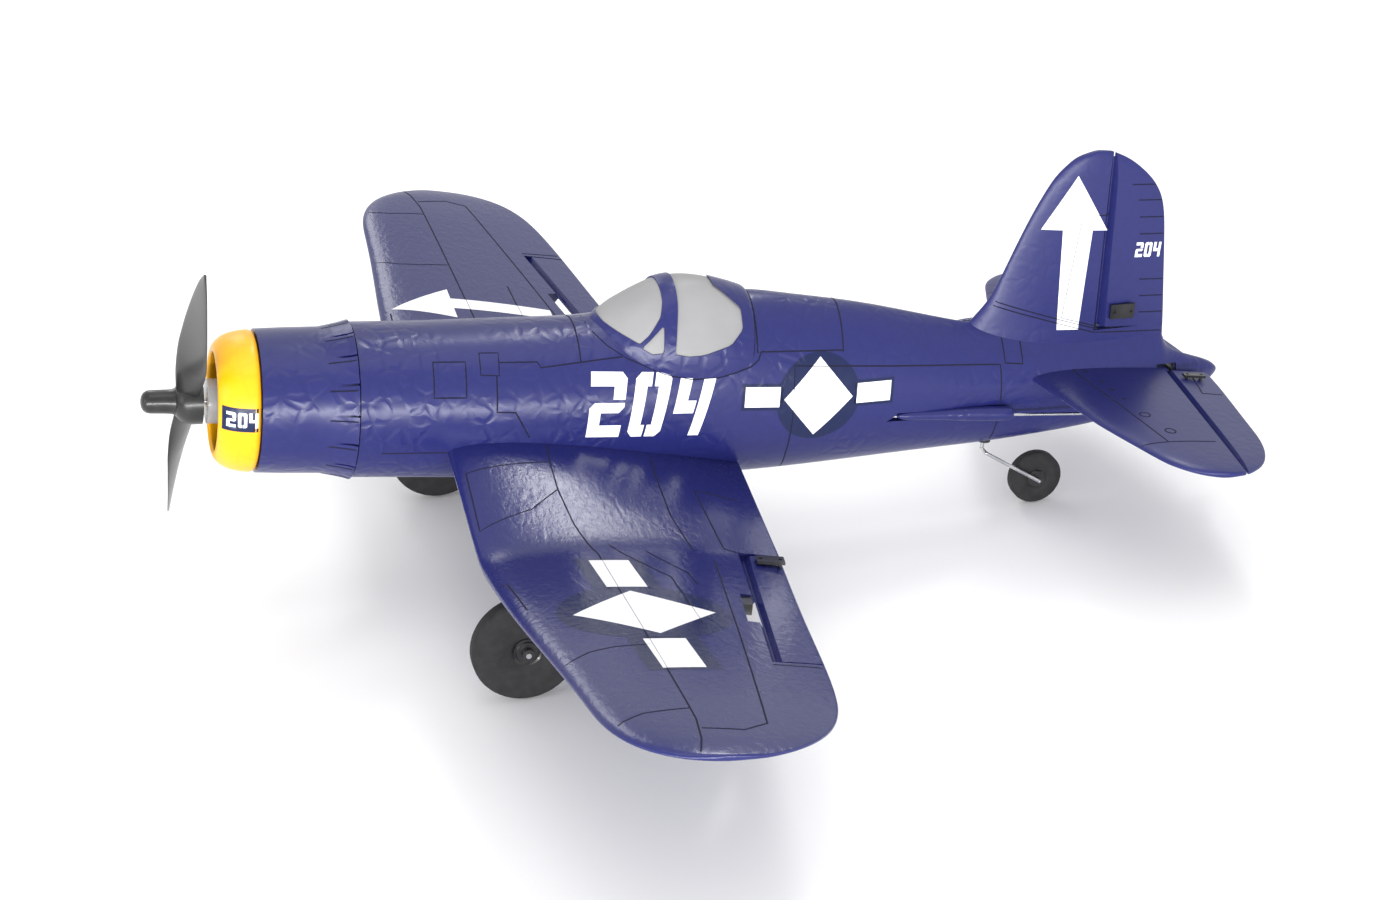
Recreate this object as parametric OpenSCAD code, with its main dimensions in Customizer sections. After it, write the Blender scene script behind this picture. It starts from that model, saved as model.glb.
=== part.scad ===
// Radio-controlled foam warbird with an inverted gull wing, standing on its three wheels.
// Every sub-part is drawn in the aeroplane's own datum (x aft from the nose ring's rear edge,
// y to starboard, z up, propeller shaft on the x axis) and then set down at its ground attitude.

/* [Airframe] */
// Span over the wing tips
wing_span = 400; // [400:1:400]
// Nose-up attitude on the wheels, degrees
ground_pitch = 7.84; // [7.84:0.01:7.84]
// Wall of the foam fuselage
foam_wall = 3; // [2.4:0.1:3.4]
// Gap left around every moving control surface
surface_gap = 0.5; // [0.4:0.1:0.7]
// Slope of the outer wing panels
outer_slope = 0.13; // [0.12:0.01:0.14]

/* [Controls] */
// Hole radius of the aileron horn, measured from its hinge
aileron_arm = 8; // [7.5:0.1:8.5]
// Hole radius of the elevator and rudder horns
tail_arm = 10; // [9.5:0.1:10]
// Pushrod wire radius
rod_r = 0.5; // [0.45:0.01:0.52]
// Bevel of the hinge grooves, degrees from square
hinge_bevel = 35; // [33:1:37]

/* [Power] */
// Propeller diameter
prop_d = 130; // [126:1:134]
// Turn of the resting blades about the shaft, degrees
prop_turn = 35.6; // [30:0.1:40]
// Gear module
gear_module = 0.4; // [0.4:0.1:0.4]
// Teeth on the motor pinion
pinion_teeth = 9; // [9:1:9]
// Teeth on the spur gear
spur_teeth = 45; // [45:1:45]
// Propeller shaft radius
shaft_r = 1; // [1:0.1:1]

/* [Wheels] */
// Main wheel radius
main_wheel_r = 15.5; // [15.5:0.1:15.5]
// Tail wheel radius
tail_wheel_r = 8.6; // [8:0.1:9]
// Tread width of the main wheels
main_wheel_w = 6; // [5:0.5:6]
// Main axle, aft of the datum
main_axle_x = 69.3; // [69.3:0.1:69.3]
// Half track of the main wheels
half_track = 66.6; // [66.6:0.1:66.6]
// Main axle height in the datum
main_axle_z = -47.7; // [-47.7:0.1:-47.7]

/* [Hidden] */
$fn = 48;

blue = [0.13, 0.14, 0.38];
black = [0.06, 0.06, 0.065];
steel = [0.75, 0.76, 0.78];

spinner_tip_x = -32.1;
stern_x = 307;
stern_z = 7;
tail_axle_x = 249.8;
tail_axle_z = -29.81;
axle_r = 0.8;
fit = 0.05;
skin_gap = 0.15;

// The origin sits on the ground, midway between the spinner tip and the tail cone's end.
nose_row_x = spinner_tip_x * cos(ground_pitch);
stern_row_x = stern_x * cos(ground_pitch) + stern_z * sin(ground_pitch);
shift_x = -(nose_row_x + stern_row_x) / 2;
shift_z = main_wheel_r + main_axle_x * sin(ground_pitch) - main_axle_z * cos(ground_pitch);

// ---- fuselage lines: [x, value] -------------------------------------------------------------
body_half = [[27.4, 22.8], [47, 23], [70, 23], [90, 22.6], [110, 22], [130, 21], [150, 19.6],
    [170, 17.8], [190, 15.8], [210, 13.7], [230, 11.4], [250, 9.2], [270, 7.2], [290, 5.2],
    [301, 3.8], [305, 2.4], [307, 0.6]];
body_top = [[27.4, 22.8], [47, 23], [70, 24], [90, 24.6], [98, 25.2], [145, 34.4], [156, 33],
    [178.7, 30.6], [195, 27.8], [212, 24.4], [222, 23], [284, 21.5], [286, 18.5], [288, 14.5],
    [296, 11.8], [303, 10.4], [305.5, 9], [307, 7.6]];
body_low = [[27.4, -22.8], [47, -23.2], [70, -24], [90, -24.6], [130, -24.8], [151, -24],
    [170, -22.4], [202, -19.2], [231, -16.6], [253, -13.6], [268, -10.8], [285, -5.5],
    [300, 0], [305, 3.4], [307, 6.4]];
body_mid = [[27.4, 0], [110, 0], [150, 1], [200, 3], [250, 6], [300, 7], [307, 7]];
// Power of the crown: 1 is a round top, 2 and more a ridge.
body_ridge = [[27.4, 1], [145, 1.05], [200, 1.2], [225, 1.9], [240, 2.6], [284, 2.6], [290, 1.3], [307, 1]];
body_stations = [27.4, 38, 50, 62, 74, 86, 98, 110, 122, 134, 145, 156, 168, 180, 192, 204, 214,
    222, 232, 244, 256, 268, 278, 284, 286, 288, 294, 300, 304, 306, 307];
bay_stations = [27.4, 45, 65, 85, 98, 115, 130, 145, 160, 180, 200, 216];

canopy_half = [[97.5, 1.5], [100, 7.8], [105, 14.4], [112, 17.8], [121, 19], [131, 19], [140, 18.2],
    [146, 16.4]];
canopy_low = [[97.5, 23.5], [100, 22.5], [105, 19], [112, 15.5], [121, 12.8], [131, 12.8], [140, 14],
    [146, 17]];
canopy_top = [[97.5, 25.8], [100, 27.3], [105, 30.8], [112, 35.2], [117, 37.8], [121, 38.9], [126, 39.1],
    [131, 38.7], [140, 36.4], [146, 34.4]];
canopy_stations = [97.5, 100, 105, 110, 115, 120, 126, 132, 137, 142, 146];

// ---- wing lines: [distance from the centre line, value] ---------------------------------------
wing_nose = [[0, 52.6], [22, 53], [66, 54.2], [81, 54.2], [103, 54.9], [120, 56.2], [139, 58],
    [156, 59.1], [177, 60], [185, 62.5], [191, 65.6], [196, 70.5], [199, 77], [200, 84]];
wing_tail = [[0, 145], [20, 144], [67, 141.8], [108, 134], [148, 127.2], [170, 123], [180, 119.6],
    [188, 114.6], [194, 108.4], [198, 101], [200, 93]];
wing_nose_z = [[0, -6.6], [16, -6.6], [22, -8.4], [60, -20.2], [67, -22], [74, -21.7],
    [200, -21.7 + outer_slope * 126]];
wing_tail_z = [[0, -16.4], [16, -16.4], [60, -21.6], [67, -22.2], [74, -21.7],
    [200, -21.7 + outer_slope * 126]];
wing_thick = [[0, 9.6], [22, 9.6], [67, 8.6], [120, 7], [177, 5.2], [194, 3.4], [200, 1.4]];
wing_stations = [0, 16, 22, 34, 48, 60, 67, 74, 90, 110, 130, 148, 162, 174, 182, 188, 193, 197, 199, 200];
upper_share = 0.62;

// ---- tail lines ---------------------------------------------------------------------------------
stab_z = 8;
stab_nose = [[0, 236.5], [14, 239.4], [28, 242.2], [44, 245.5], [62, 251.4], [72, 255], [78, 259.6],
    [81, 265], [82, 270]];
stab_tail = [[0, 300.6], [8, 300.4], [20, 299], [58, 293.2], [69, 290], [77, 284], [81, 277.6], [82, 273]];
stab_level = [[0, stab_z], [82, stab_z]];
stab_thick = [[0, 5], [40, 4.4], [72, 3.4], [80, 2.4], [82, 1.4]];
stab_stations = [0, 10, 28, 44, 58, 66, 72, 76, 79, 81, 82];

fin_nose = [[16, 214], [21, 217], [24.8, 219.6], [31, 224.6], [50, 230.8], [62, 235.2], [72, 240.2],
    [77.4, 246], [79.4, 252]];
fin_tail = [[16, 286], [23, 285.1], [54, 279.8], [63, 278.1], [68, 275.4], [73, 270.6], [77.4, 263],
    [79.4, 257]];
fin_level = [[16, 0], [80, 0]];
fin_thick = [[16, 8.4], [24, 6.4], [40, 5.2], [70, 4], [77.4, 2.6], [79.4, 1.4]];
fin_stations = [16, 21, 25, 31, 40, 50, 60, 66, 71, 75, 77.4, 79.4];

// ---- hinge lines --------------------------------------------------------------------------------
aileron_in = [130.3, -68.5];
aileron_out = [114.2, -147.6];
aileron_z = -21.7 + outer_slope * (68.5 - 74) + 0.2;
aileron_sweep = atan2(aileron_in.x - aileron_out.x, aileron_in.y - aileron_out.y);
aileron_rise = atan(outer_slope * cos(aileron_sweep));
aileron_len = norm([aileron_in.x - aileron_out.x, aileron_in.y - aileron_out.y,
    outer_slope * (aileron_in.y - aileron_out.y)]);
elevator_in = [286.7, -5];
elevator_out = [277.5, -78];
elevator_sweep = atan2(elevator_in.x - elevator_out.x, elevator_in.y - elevator_out.y);
rudder_low = [262.2, 20.9];
rudder_high = [258.1, 78.6];
rudder_lean = atan2(rudder_low.x - rudder_high.x, rudder_high.y - rudder_low.y);

// ---- control stations ---------------------------------------------------------------------------
aileron_horn_at = 4;
aileron_servo_dx = -25;
elevator_horn_y = -12.6;
elevator_horn_x = elevator_in.x + (elevator_horn_y - elevator_in.y) * tan(elevator_sweep);
elevator_servo_x = 112;
elevator_servo_y = elevator_horn_y + 0.2; // leaves room for the rod's sideways swing
rudder_horn_z = 27.5;
rudder_horn_x = rudder_low.x - (rudder_horn_z - rudder_low.y) * tan(rudder_lean);
rudder_servo_x = 140;
rudder_rod_slope = 0.19;
plate_t = 1;
rod_side = 1.3;

// ---- power train --------------------------------------------------------------------------------
gear_centre = gear_module * (pinion_teeth + spur_teeth) / 2;
gear_phase = 180 - 180 / pinion_teeth;
motor_r = 4.25;

// ================================ shared shapes =================================================

module on_ground() {
    translate([shift_x, 0, shift_z]) rotate([0, ground_pitch, 0]) children();
}

module starboard() {
    mirror([0, 1, 0]) children();
}

// A closed skin over equal rings of points, given in order along the part.
module loft(rings) {
    n = len(rings[0]);
    m = len(rings);
    sides = [for (j = [0:m - 2], i = [0:n - 1])
        let (a = j * n + i, b = j * n + (i + 1) % n)
        each [[a, b, b + n], [a, b + n, a + n]]];
    polyhedron(points = [for (r = rings) each r],
        faces = concat([[for (i = [n - 1:-1:0]) i]], sides, [[for (i = [0:n - 1]) (m - 1) * n + i]]));
}

function body_ring(x, wall, n) =
    let (w = lookup(x, body_half) - wall, top = lookup(x, body_top) - wall,
        low = lookup(x, body_low) + wall, mid = lookup(x, body_mid), ridge = lookup(x, body_ridge))
    [for (i = [0:n - 1])
        let (a = -360 * i / n, c = cos(a), s = sin(a))
        s > 0
            ? [x, w * sign(c) * pow(abs(c), ridge), mid + (top - mid) * s]
            : [x, w * c, mid + (mid - low) * s]];

module body_skin(stations, wall, n) {
    loft([for (x = stations) body_ring(x, wall, n)]);
}

function canopy_ring(x, inset, n) =
    let (w = lookup(x, canopy_half) - inset, top = lookup(x, canopy_top) - inset,
        low = lookup(x, canopy_low) - max(-inset, 0))
    concat([for (i = [0:n]) let (a = 180 - 180 * i / n) [x, w * cos(a), low + (top - low) * sin(a)]],
        [[x, w * 0.98, low - 3], [x, -w * 0.98, low - 3]]);

module canopy_skin(inset) {
    loft([for (x = canopy_stations)
        let (along = x == 97.5 ? x + inset : x == 146 ? x - inset : x)
        [for (p = canopy_ring(x, inset, 20)) [along, p.y, p.z]]]);
}

function section_height(u) =
    10 * (0.2969 * sqrt(u) - 0.126 * u - 0.3516 * u * u + 0.2843 * pow(u, 3) - 0.1015 * pow(u, 4));

// One wing section at span station s; share is the part of the thickness above the chord line.
function foil_ring(s, nose, tail, nose_z, tail_z, thick, share, grow, n) =
    let (x0 = lookup(s, nose) - grow, x1 = lookup(s, tail) + grow,
        z0 = lookup(s, nose_z), z1 = lookup(s, tail_z), t = lookup(s, thick) + 2 * grow)
    concat(
        [for (i = [1:n]) let (u = (1 - cos(180 * i / n)) / 2)
            [x0 + (x1 - x0) * u, z0 + (z1 - z0) * u - (1 - share) * (t * section_height(u) + 0.8 * u)]],
        [for (i = [n:-1:0]) let (u = (1 - cos(180 * i / n)) / 2)
            [x0 + (x1 - x0) * u, z0 + (z1 - z0) * u + share * (t * section_height(u) + 0.8 * u)]]);

// Both halves of a wing or tail as one skin.
module foil_pair(stations, nose, tail, nose_z, tail_z, thick, share, grow, n) {
    both = concat([for (i = [len(stations) - 1:-1:1]) -stations[i]], stations);
    loft([for (s = both) [for (p = foil_ring(abs(s), nose, tail, nose_z, tail_z, thick, share, grow, n))
        [p.x, s, p.y]]]);
}

module wing_skin(grow = 0) {
    foil_pair(wing_stations, wing_nose, wing_tail, wing_nose_z, wing_tail_z, wing_thick, upper_share,
        grow, 11);
}

module wing_centre(grow) {
    foil_pair([0, 16, 22, 34], wing_nose, wing_tail, wing_nose_z, wing_tail_z, wing_thick, upper_share,
        grow, 11);
}

module stab_skin() {
    foil_pair(stab_stations, stab_nose, stab_tail, stab_level, stab_level, stab_thick, 0.5, 0, 8);
}

module fin_skin() {
    rotate([90, 0, 0])
        loft([for (s = fin_stations) [for (p = foil_ring(s, fin_nose, fin_tail, fin_level, fin_level,
            fin_thick, 0.5, 0, 8))
            [p.x, s, p.y]]]);
}

// Local frames: x aft, y along the hinge, z up.
module port_aileron_frame() {
    translate([aileron_in.x, aileron_in.y, aileron_z])
        rotate([-aileron_rise, 0, -aileron_sweep]) children();
}

module port_elevator_frame() {
    translate([elevator_in.x, elevator_in.y, stab_z])
        rotate([0, 0, -elevator_sweep]) children();
}

// Local frame of the rudder: x aft, z up the hinge.
module rudder_frame() {
    translate([rudder_low.x, 0, rudder_low.y]) rotate([0, -rudder_lean, 0]) children();
}

// Half height of the wedges that part a surface at its hinge.
rise = 12;

// Everything ahead of a hinge, less the groove's slope on both faces; y is the hinge.
module fore_of_hinge(length) {
    rotate([90, 0, 0])
        linear_extrude(height = length, center = true)
            polygon([[-0.1, 0], [-0.1 - rise * tan(hinge_bevel), rise], [-400, rise], [-400, -rise],
                [-0.1 - rise * tan(hinge_bevel), -rise]]);
}

// Everything behind a hinge, less the groove's slope; y is the hinge.
module aft_of_hinge(length) {
    rotate([90, 0, 0])
        linear_extrude(height = length, center = true)
            polygon([[0.25, 0], [0.25 + rise * tan(hinge_bevel), rise], [60, rise], [60, -rise],
                [0.25 + rise * tan(hinge_bevel), -rise]]);
}

// Groove and moving region together, cut from the fixed part.
module hinge_cut(length) {
    rotate([90, 0, 0])
        linear_extrude(height = length, center = true)
            polygon([[-0.1, 0], [-0.1 - rise * tan(hinge_bevel), rise], [60, rise], [60, -rise],
                [-0.1 - rise * tan(hinge_bevel), -rise]]);
}

// A control horn: hole at (0, -arm) below the hinge, foot on the skin behind it. y is its thickness.
module horn(arm, foot_z, foot_x, foot_len, prong_len) {
    difference() {
        union() {
            rotate([90, 0, 0])
                linear_extrude(height = plate_t, center = true)
                    polygon([[-1.3, -arm + 0.4], [-0.9, -arm - 0.9], [0.9, -arm - 1.3],
                        [foot_x + foot_len, foot_z - 0.8],
                        [foot_x + foot_len, foot_z], [foot_x, foot_z], [foot_x, foot_z - 0.8]]);
            translate([foot_x, -2.5, foot_z - 0.8]) cube([foot_len, 5, 0.8]);
            for (dx = [1.2, foot_len - 1.2])
                translate([foot_x + dx, 0, foot_z]) cylinder(r = 0.5, h = prong_len, $fn = 24);
        }
        translate([0, 0, -arm]) rotate([90, 0, 0]) cylinder(r = rod_r + fit, h = 4, center = true,
            $fn = 24);
    }
}

module servo_arm(arm, hub_r) {
    difference() {
        union() {
            rotate([90, 0, 0]) cylinder(r = hub_r, h = plate_t + 0.6, center = true);
            rotate([90, 0, 0]) linear_extrude(height = plate_t, center = true)
                polygon([[-hub_r, 0], [-1.2, -arm], [-0.6, -arm - 1.3], [0.6, -arm - 1.3], [1.2, -arm],
                    [hub_r, 0]]);
        }
        translate([0, 0, -arm]) rotate([90, 0, 0]) cylinder(r = rod_r + fit, h = 4, center = true,
            $fn = 24);
        rotate([90, 0, 0]) cylinder(r = 0.95, h = 4, center = true, $fn = 24);
    }
}

// A straight wire with both ends bent square; the wire lies at y = side, from x = 0 to x = length.
module rod_wire(length, side) {
    bend = side > 0 ? side + 1.1 : side - 1.1;
    for (x = [0, length]) {
        translate([x, side, 0]) sphere(r = rod_r, $fn = 24);
        translate([x, side - bend / 2, 0]) rotate([90, 0, 0]) cylinder(r = rod_r, h = abs(bend),
            center = true, $fn = 24);
    }
    translate([0, side, 0]) rotate([0, 90, 0]) cylinder(r = rod_r, h = length, $fn = 24);
}

// A small servo on its side: output on the y axis at the origin, case beyond y = face.
module servo_case(face, depth, front, length, low, high) {
    flip = face > 0 ? 1 : -1;
    translate([front, min(face, face + flip * depth), low]) cube([length, depth, high - low]);
    rotate([90 * flip, 0, 0]) translate([0, 0, -abs(face) - 0.1]) cylinder(r = 0.9,
        h = abs(face) + 0.6, $fn = 24);
}

// ================================ foam airframe =================================================

module hatch_box(grow) {
    translate([32 - grow, -13.5 - grow, -30]) cube([56 + 2 * grow, 27 + 2 * grow, 14.4]);
}

module fuselage() {
    color(blue) on_ground()
        difference() {
            union() {
                body_skin(body_stations, 0, 32);
                intersection() {
                    fin_skin();
                    fin_seam_below(0);
                    rudder_frame() translate([-60.1 - 1.6, 0, 20]) cube([120, 30, 200], center = true);
                }
            }
            body_skin(bay_stations, foam_wall, 20);
            canopy_skin(-skin_gap);
            wing_centre(skin_gap);
            hatch_box(0.2);
            stab_slot();
            // the elevator and rudder pushrods leave through slots in the sides
            translate([166, elevator_horn_y - rod_side - 1.3, stab_z - tail_arm - 1.2]) cube([56, 3, 2.8]);
            rudder_rod_frame() translate([-80, -1.7, -rod_side - 1.2]) cube([34, 2.9, 2.4]);
            translate([230, 0, -20]) cylinder(r = 2.4 + skin_gap, h = 10);
            // seats of two magnets at the hatch's rear edge
            for (y = [-8, 8]) translate([88.1, y, -18]) rotate([0, 90, 0]) cylinder(r = 1.6, h = 2.2,
                $fn = 32);
        }
}

// Below (or above) the seam between the fuselage fairing and the fin.
module fin_seam_below(grow) {
    rotate([90, 0, 0]) linear_extrude(height = 30, center = true)
        polygon([[200, 0], [300, 0], [300, 21.6 - grow], [261.7, 21.9 - grow], [225.7, 30.7 - grow],
            [200, 36.5 - grow]]);
}

module stab_slot() {
    translate([235.6, -20, stab_z - 2.75]) cube([54.8, 40, 5.5]);
}

module cowl() {
    flaps = 16;
    color(blue) on_ground()
        difference() {
            rotate([0, 90, 0]) rotate_extrude($fn = 96)
                polygon([[17.6, 0], [20.8, 0], [21.1, 8], [21.3, 18.5], [22.2, 23], [23.3, 27],
                    [20.4, 27], [17.6, 24]]);
            // slits between the cowl flaps
            for (i = [0:flaps - 1]) rotate([360 * (i + 0.5) / flaps, 0, 0])
                translate([19.5, -0.3, 21.6]) cube([9, 0.6, 4]);
        }
}

module nose_ring() {
    color([1, 0.76, 0.03]) on_ground()
        rotate([0, 90, 0]) rotate_extrude($fn = 96)
            polygon([[17.6, -0.1], [17.6, -4], [16.4, -7.5], [14.4, -10.6], [14.2, -11.4], [14.8, -12],
                [15.9, -11.9], [17.4, -11], [18.9, -9.2], [19.9, -6.8], [20.5, -3.6], [20.8, -0.1]]);
}

module pane_areas(grow) {
    rotate([90, 0, 0]) linear_extrude(height = 60, center = true) offset(delta = -grow) {
        polygon([[99.8, 26.4], [106.1, 24.2], [109.4, 22.8], [112.2, 25.5], [115.6, 30.2], [116.8, 34.2],
            [116.6, 50], [100, 50], [98, 30]]);
        polygon([[109.9, 21.8], [116.5, 28.6], [116.4, 20.8], [113, 20.3]]);
        polygon([[119.5, 20.6], [118.8, 28.7], [118.4, 34.4], [118.9, 50], [133, 50], [133, 37.6],
            [135.7, 36],
            [140.8, 32.2], [140.9, 27], [137.1, 22.9], [128.7, 20.3], [124.1, 19.9]]);
    }
}

module canopy() {
    color(blue) on_ground()
        difference() {
            canopy_skin(0);
            canopy_skin(2);
            translate([99, -15, 8]) cube([48, 30, 7.2]);
            difference() {
                pane_areas(0);
                canopy_skin(0.7);
            }
        }
}

module glazing() {
    color([0.62, 0.62, 0.63]) on_ground()
        difference() {
            intersection() {
                canopy_skin(0.1);
                pane_areas(0.15);
            }
            canopy_skin(0.6);
        }
}

module battery_hatch() {
    color(blue) on_ground()
        difference() {
            intersection() {
                body_skin([27.4, 38, 50, 62, 74, 86, 98], 0, 32);
                hatch_box(0);
            }
            body_skin([27.4, 38, 50, 62, 74, 86, 98], 2.2, 32);
            wing_centre(skin_gap);
        }
}

module hatch_magnets() {
    color(steel) on_ground()
        for (y = [-8, 8]) translate([88.3, y, -18]) rotate([0, 90, 0]) cylinder(r = 1.5, h = 1.8, $fn = 32);
}

module aileron_region(in_gap, out_gap) {
    port_aileron_frame() rotate([0, 0, aileron_sweep])
        translate([-60, -(aileron_in.y - aileron_out.y) + out_gap, -30])
            cube([150, aileron_in.y - aileron_out.y - in_gap - out_gap, 60]);
}

module port_aileron_notch() {
    intersection() {
        aileron_region(-1.2, -0.3);
        port_aileron_frame() translate([0, -aileron_len / 2, 0]) hinge_cut(aileron_len + 60);
    }
    // slot ahead of the hinge, seen right through the wing
    port_aileron_frame() translate([-4.6, -53, -10]) cube([4.6, 21, 20]);
    // pocket for the aileron servo and the sweep of its arm
    port_aileron_frame() translate([0, -aileron_horn_at, 0]) translate([-30, -16, -20]) cube([17.6, 19,
        22.4]);
    // socket of the landing gear leg
    translate([main_axle_x, -half_track + 4.6, -32]) cylinder(r = 3.5 + skin_gap, h = 11.2);
    // prongs of the aileron horn
    port_aileron_frame() translate([0, -aileron_horn_at, 0])
        for (x = [4.2, 9.8]) translate([x, 0, -5]) cylinder(r = 0.55, h = 10, $fn = 24);
}

module spar_strips(grow) {
    // inner and outer strip of one side, on edge in the top of the foam
    hull() {
        translate([90 - grow, -17, -8.2 - grow]) cube([0.8 + 2 * grow, 0.5, 2.4 + 2 * grow]);
        translate([88.2 - grow, -64.5 - grow, -21.1 - grow]) cube([0.8 + 2 * grow, 0.5, 2.4 + 2 * grow]);
    }
    hull() {
        translate([88 - grow, -69, -20.6 - grow]) cube([0.8 + 2 * grow, 0.5, 2.4 + 2 * grow]);
        translate([82.2 - grow, -184 - grow, -7.6 - grow]) cube([0.8 + 2 * grow, 0.5, 2.4 + 2 * grow]);
    }
}

module wing() {
    color(blue) on_ground()
        difference() {
            wing_skin();
            port_aileron_notch();
            starboard() port_aileron_notch();
            spar_strips(0.1);
            starboard() spar_strips(0.1);
        }
}

module wing_spars() {
    color([0.12, 0.12, 0.13]) on_ground() {
        spar_strips(0);
        starboard() spar_strips(0);
    }
}

module fin() {
    color(blue) on_ground()
        difference() {
            fin_skin();
            fin_seam_below(-0.15);
            rudder_frame() translate([0, 0, 25]) rotate([90, 0, 0]) hinge_cut(200);
        }
}

module rudder() {
    color(blue) on_ground()
        difference() {
            intersection() {
                fin_skin();
                rudder_frame() translate([0, 0, 25]) rotate([90, 0, 0]) aft_of_hinge(200);
                translate([250, -20, rudder_low.y + 1.6]) cube([60, 40, 80]);
            }
            rudder_horn_frame() for (x = [4.2, 9.8]) translate([x, 0, -6]) cylinder(r = 0.55, h = 12,
                $fn = 24);
        }
}

module stabilizer() {
    color(blue) on_ground()
        intersection() {
            stab_skin();
            union() {
                port_elevator_frame() translate([0, -37, 0]) fore_of_hinge(84);
                starboard() port_elevator_frame() translate([0, -37, 0]) fore_of_hinge(84);
                translate([200, -5, 0]) cube([86.6, 10, 16]);
            }
        }
}

module port_elevator() {
    difference() {
        intersection() {
            stab_skin();
            port_elevator_frame() translate([0, -37, 0]) aft_of_hinge(120);
            translate([250, -100, 0]) cube([60, 93, 20]);
        }
        elevator_horn_frame() for (x = [4.2, 8.8]) translate([x, 0, -6]) cylinder(r = 0.55, h = 12,
            $fn = 24);
        port_elevator_frame() translate([2.2, 0, 0]) rotate([90, 0, elevator_sweep]) cylinder(r = 0.65,
            h = 20, center = true, $fn = 24);
    }
}

module aileron_port_shape() {
    difference() {
        intersection() {
            wing_skin();
            aileron_region(surface_gap, surface_gap);
            port_aileron_frame() translate([0, -aileron_len / 2, 0]) aft_of_hinge(aileron_len + 60);
        }
        port_aileron_frame() translate([0, -aileron_horn_at, 0])
            for (x = [4.2, 9.8]) translate([x, 0, -5]) cylinder(r = 0.55, h = 10, $fn = 24);
    }
}

module aileron_port() {
    color(blue) on_ground() aileron_port_shape();
}

module aileron_starboard() {
    color(blue) on_ground() starboard() aileron_port_shape();
}

module elevator_port() {
    color(blue) on_ground() port_elevator();
}

module elevator_starboard() {
    color(blue) on_ground()
        intersection() {
            stab_skin();
            starboard() port_elevator_frame() translate([0, -37, 0]) aft_of_hinge(120);
            translate([250, 7, 0]) cube([60, 93, 20]);
        }
}

module elevator_joiner() {
    color(black) on_ground()
        port_elevator_frame() translate([2.2, 0, 0]) rotate([90, 0, elevator_sweep])
            translate([0, 0, -11.4]) cylinder(r = 0.6, h = 20.4, $fn = 24);
}

// ================================ horns, servos and pushrods =====================================

module elevator_horn_frame() {
    translate([elevator_horn_x, elevator_horn_y, stab_z]) rotate([0, 0, -elevator_sweep]) children();
}

// Horn on the starboard face: local z points to port, so the hole lies to starboard.
module rudder_horn_frame() {
    translate([rudder_horn_x, 0, rudder_horn_z]) rotate([0, -rudder_lean, 0]) rotate([90, 0, 0]) children();
}

module backplate(foot_x, foot_len, half_w, z) {
    difference() {
        translate([foot_x, -half_w, z]) cube([foot_len, 2 * half_w, 0.8]);
        for (dx = [1.2, foot_len - 1.2]) translate([foot_x + dx, 0, z - 1]) cylinder(r = 0.52, h = 3,
            $fn = 24);
    }
}

module aileron_horn_shape() {
    port_aileron_frame() translate([0, -aileron_horn_at, 0]) {
        horn(aileron_arm, -1.5, 3, 8, 4);
        backplate(3, 8, 2.6, 2.2);
    }
}

module aileron_horn_port() {
    color(black) on_ground() aileron_horn_shape();
}

module aileron_horn_starboard() {
    color(black) on_ground() starboard() aileron_horn_shape();
}

module elevator_horn() {
    color(black) on_ground() elevator_horn_frame() {
        horn(tail_arm, -2.1, 3, 7, 4.6);
        backplate(3, 7, 1.2, 1.9);
    }
}

module rudder_horn() {
    color(black) on_ground() rudder_horn_frame() {
        horn(tail_arm, -3, 3, 8, 6);
        backplate(3, 8, 2.4, 2.6);
    }
}

module hinge_blocks() {
    color(black) on_ground() for (side = [0, 1]) mirror([0, side, 0])
        port_aileron_frame() translate([-4.4, -38.4, -1.6]) cube([2.8, 6.2, 3]);
}

module aileron_servos() {
    color([0.1, 0.12, 0.2]) on_ground() for (side = [0, 1]) mirror([0, side, 0])
        port_aileron_frame() translate([aileron_servo_dx, -aileron_horn_at, 0])
            servo_case(-1.6, 14, -4.7, 17, -4.6, 2.2);
}

module aileron_arm_shape() {
    port_aileron_frame() translate([aileron_servo_dx, -aileron_horn_at, 0]) servo_arm(aileron_arm, 2.1);
}

module aileron_arm_port() {
    color([0.92, 0.92, 0.9]) on_ground() aileron_arm_shape();
}

module aileron_arm_starboard() {
    color([0.92, 0.92, 0.9]) on_ground() starboard() aileron_arm_shape();
}

module aileron_rod_shape() {
    port_aileron_frame() translate([aileron_servo_dx, -aileron_horn_at,
        -aileron_arm]) rod_wire(-aileron_servo_dx, rod_side);
}

module aileron_rod_port() {
    color(steel) on_ground() aileron_rod_shape();
}

module aileron_rod_starboard() {
    color(steel) on_ground() starboard() aileron_rod_shape();
}

module elevator_servo() {
    color([0.1, 0.12, 0.2]) on_ground()
        translate([elevator_servo_x, elevator_servo_y, stab_z]) servo_case(1.8, 8, -5, 17, -8.9, 6);
}

module elevator_arm() {
    color([0.92, 0.92, 0.9]) on_ground()
        translate([elevator_servo_x, elevator_servo_y, stab_z]) servo_arm(tail_arm, 2.4);
}

module elevator_rod() {
    color(steel) on_ground()
        translate([elevator_servo_x, elevator_horn_y, stab_z - tail_arm])
            rod_wire(elevator_horn_x - elevator_servo_x, -rod_side);
}

// Origin at the rudder horn's hole; x runs aft along the sloping pushrod, y is up the hinge side.
module rudder_rod_frame() {
    translate([rudder_horn_x, tail_arm, rudder_horn_z]) rotate([0, -atan(rudder_rod_slope), 0]) children();
}

module rudder_servo_frame() {
    drop = rudder_rod_slope * (rudder_horn_x - rudder_servo_x);
    translate([rudder_servo_x, 0, rudder_horn_z - drop]) rotate([0, -rudder_lean, 0]) rotate([90, 0,
        0]) children();
}

module rudder_servo() {
    color([0.1, 0.12, 0.2]) on_ground() rudder_servo_frame() servo_case(1.8, 8, -5, 17, -6, 6);
}

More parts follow.
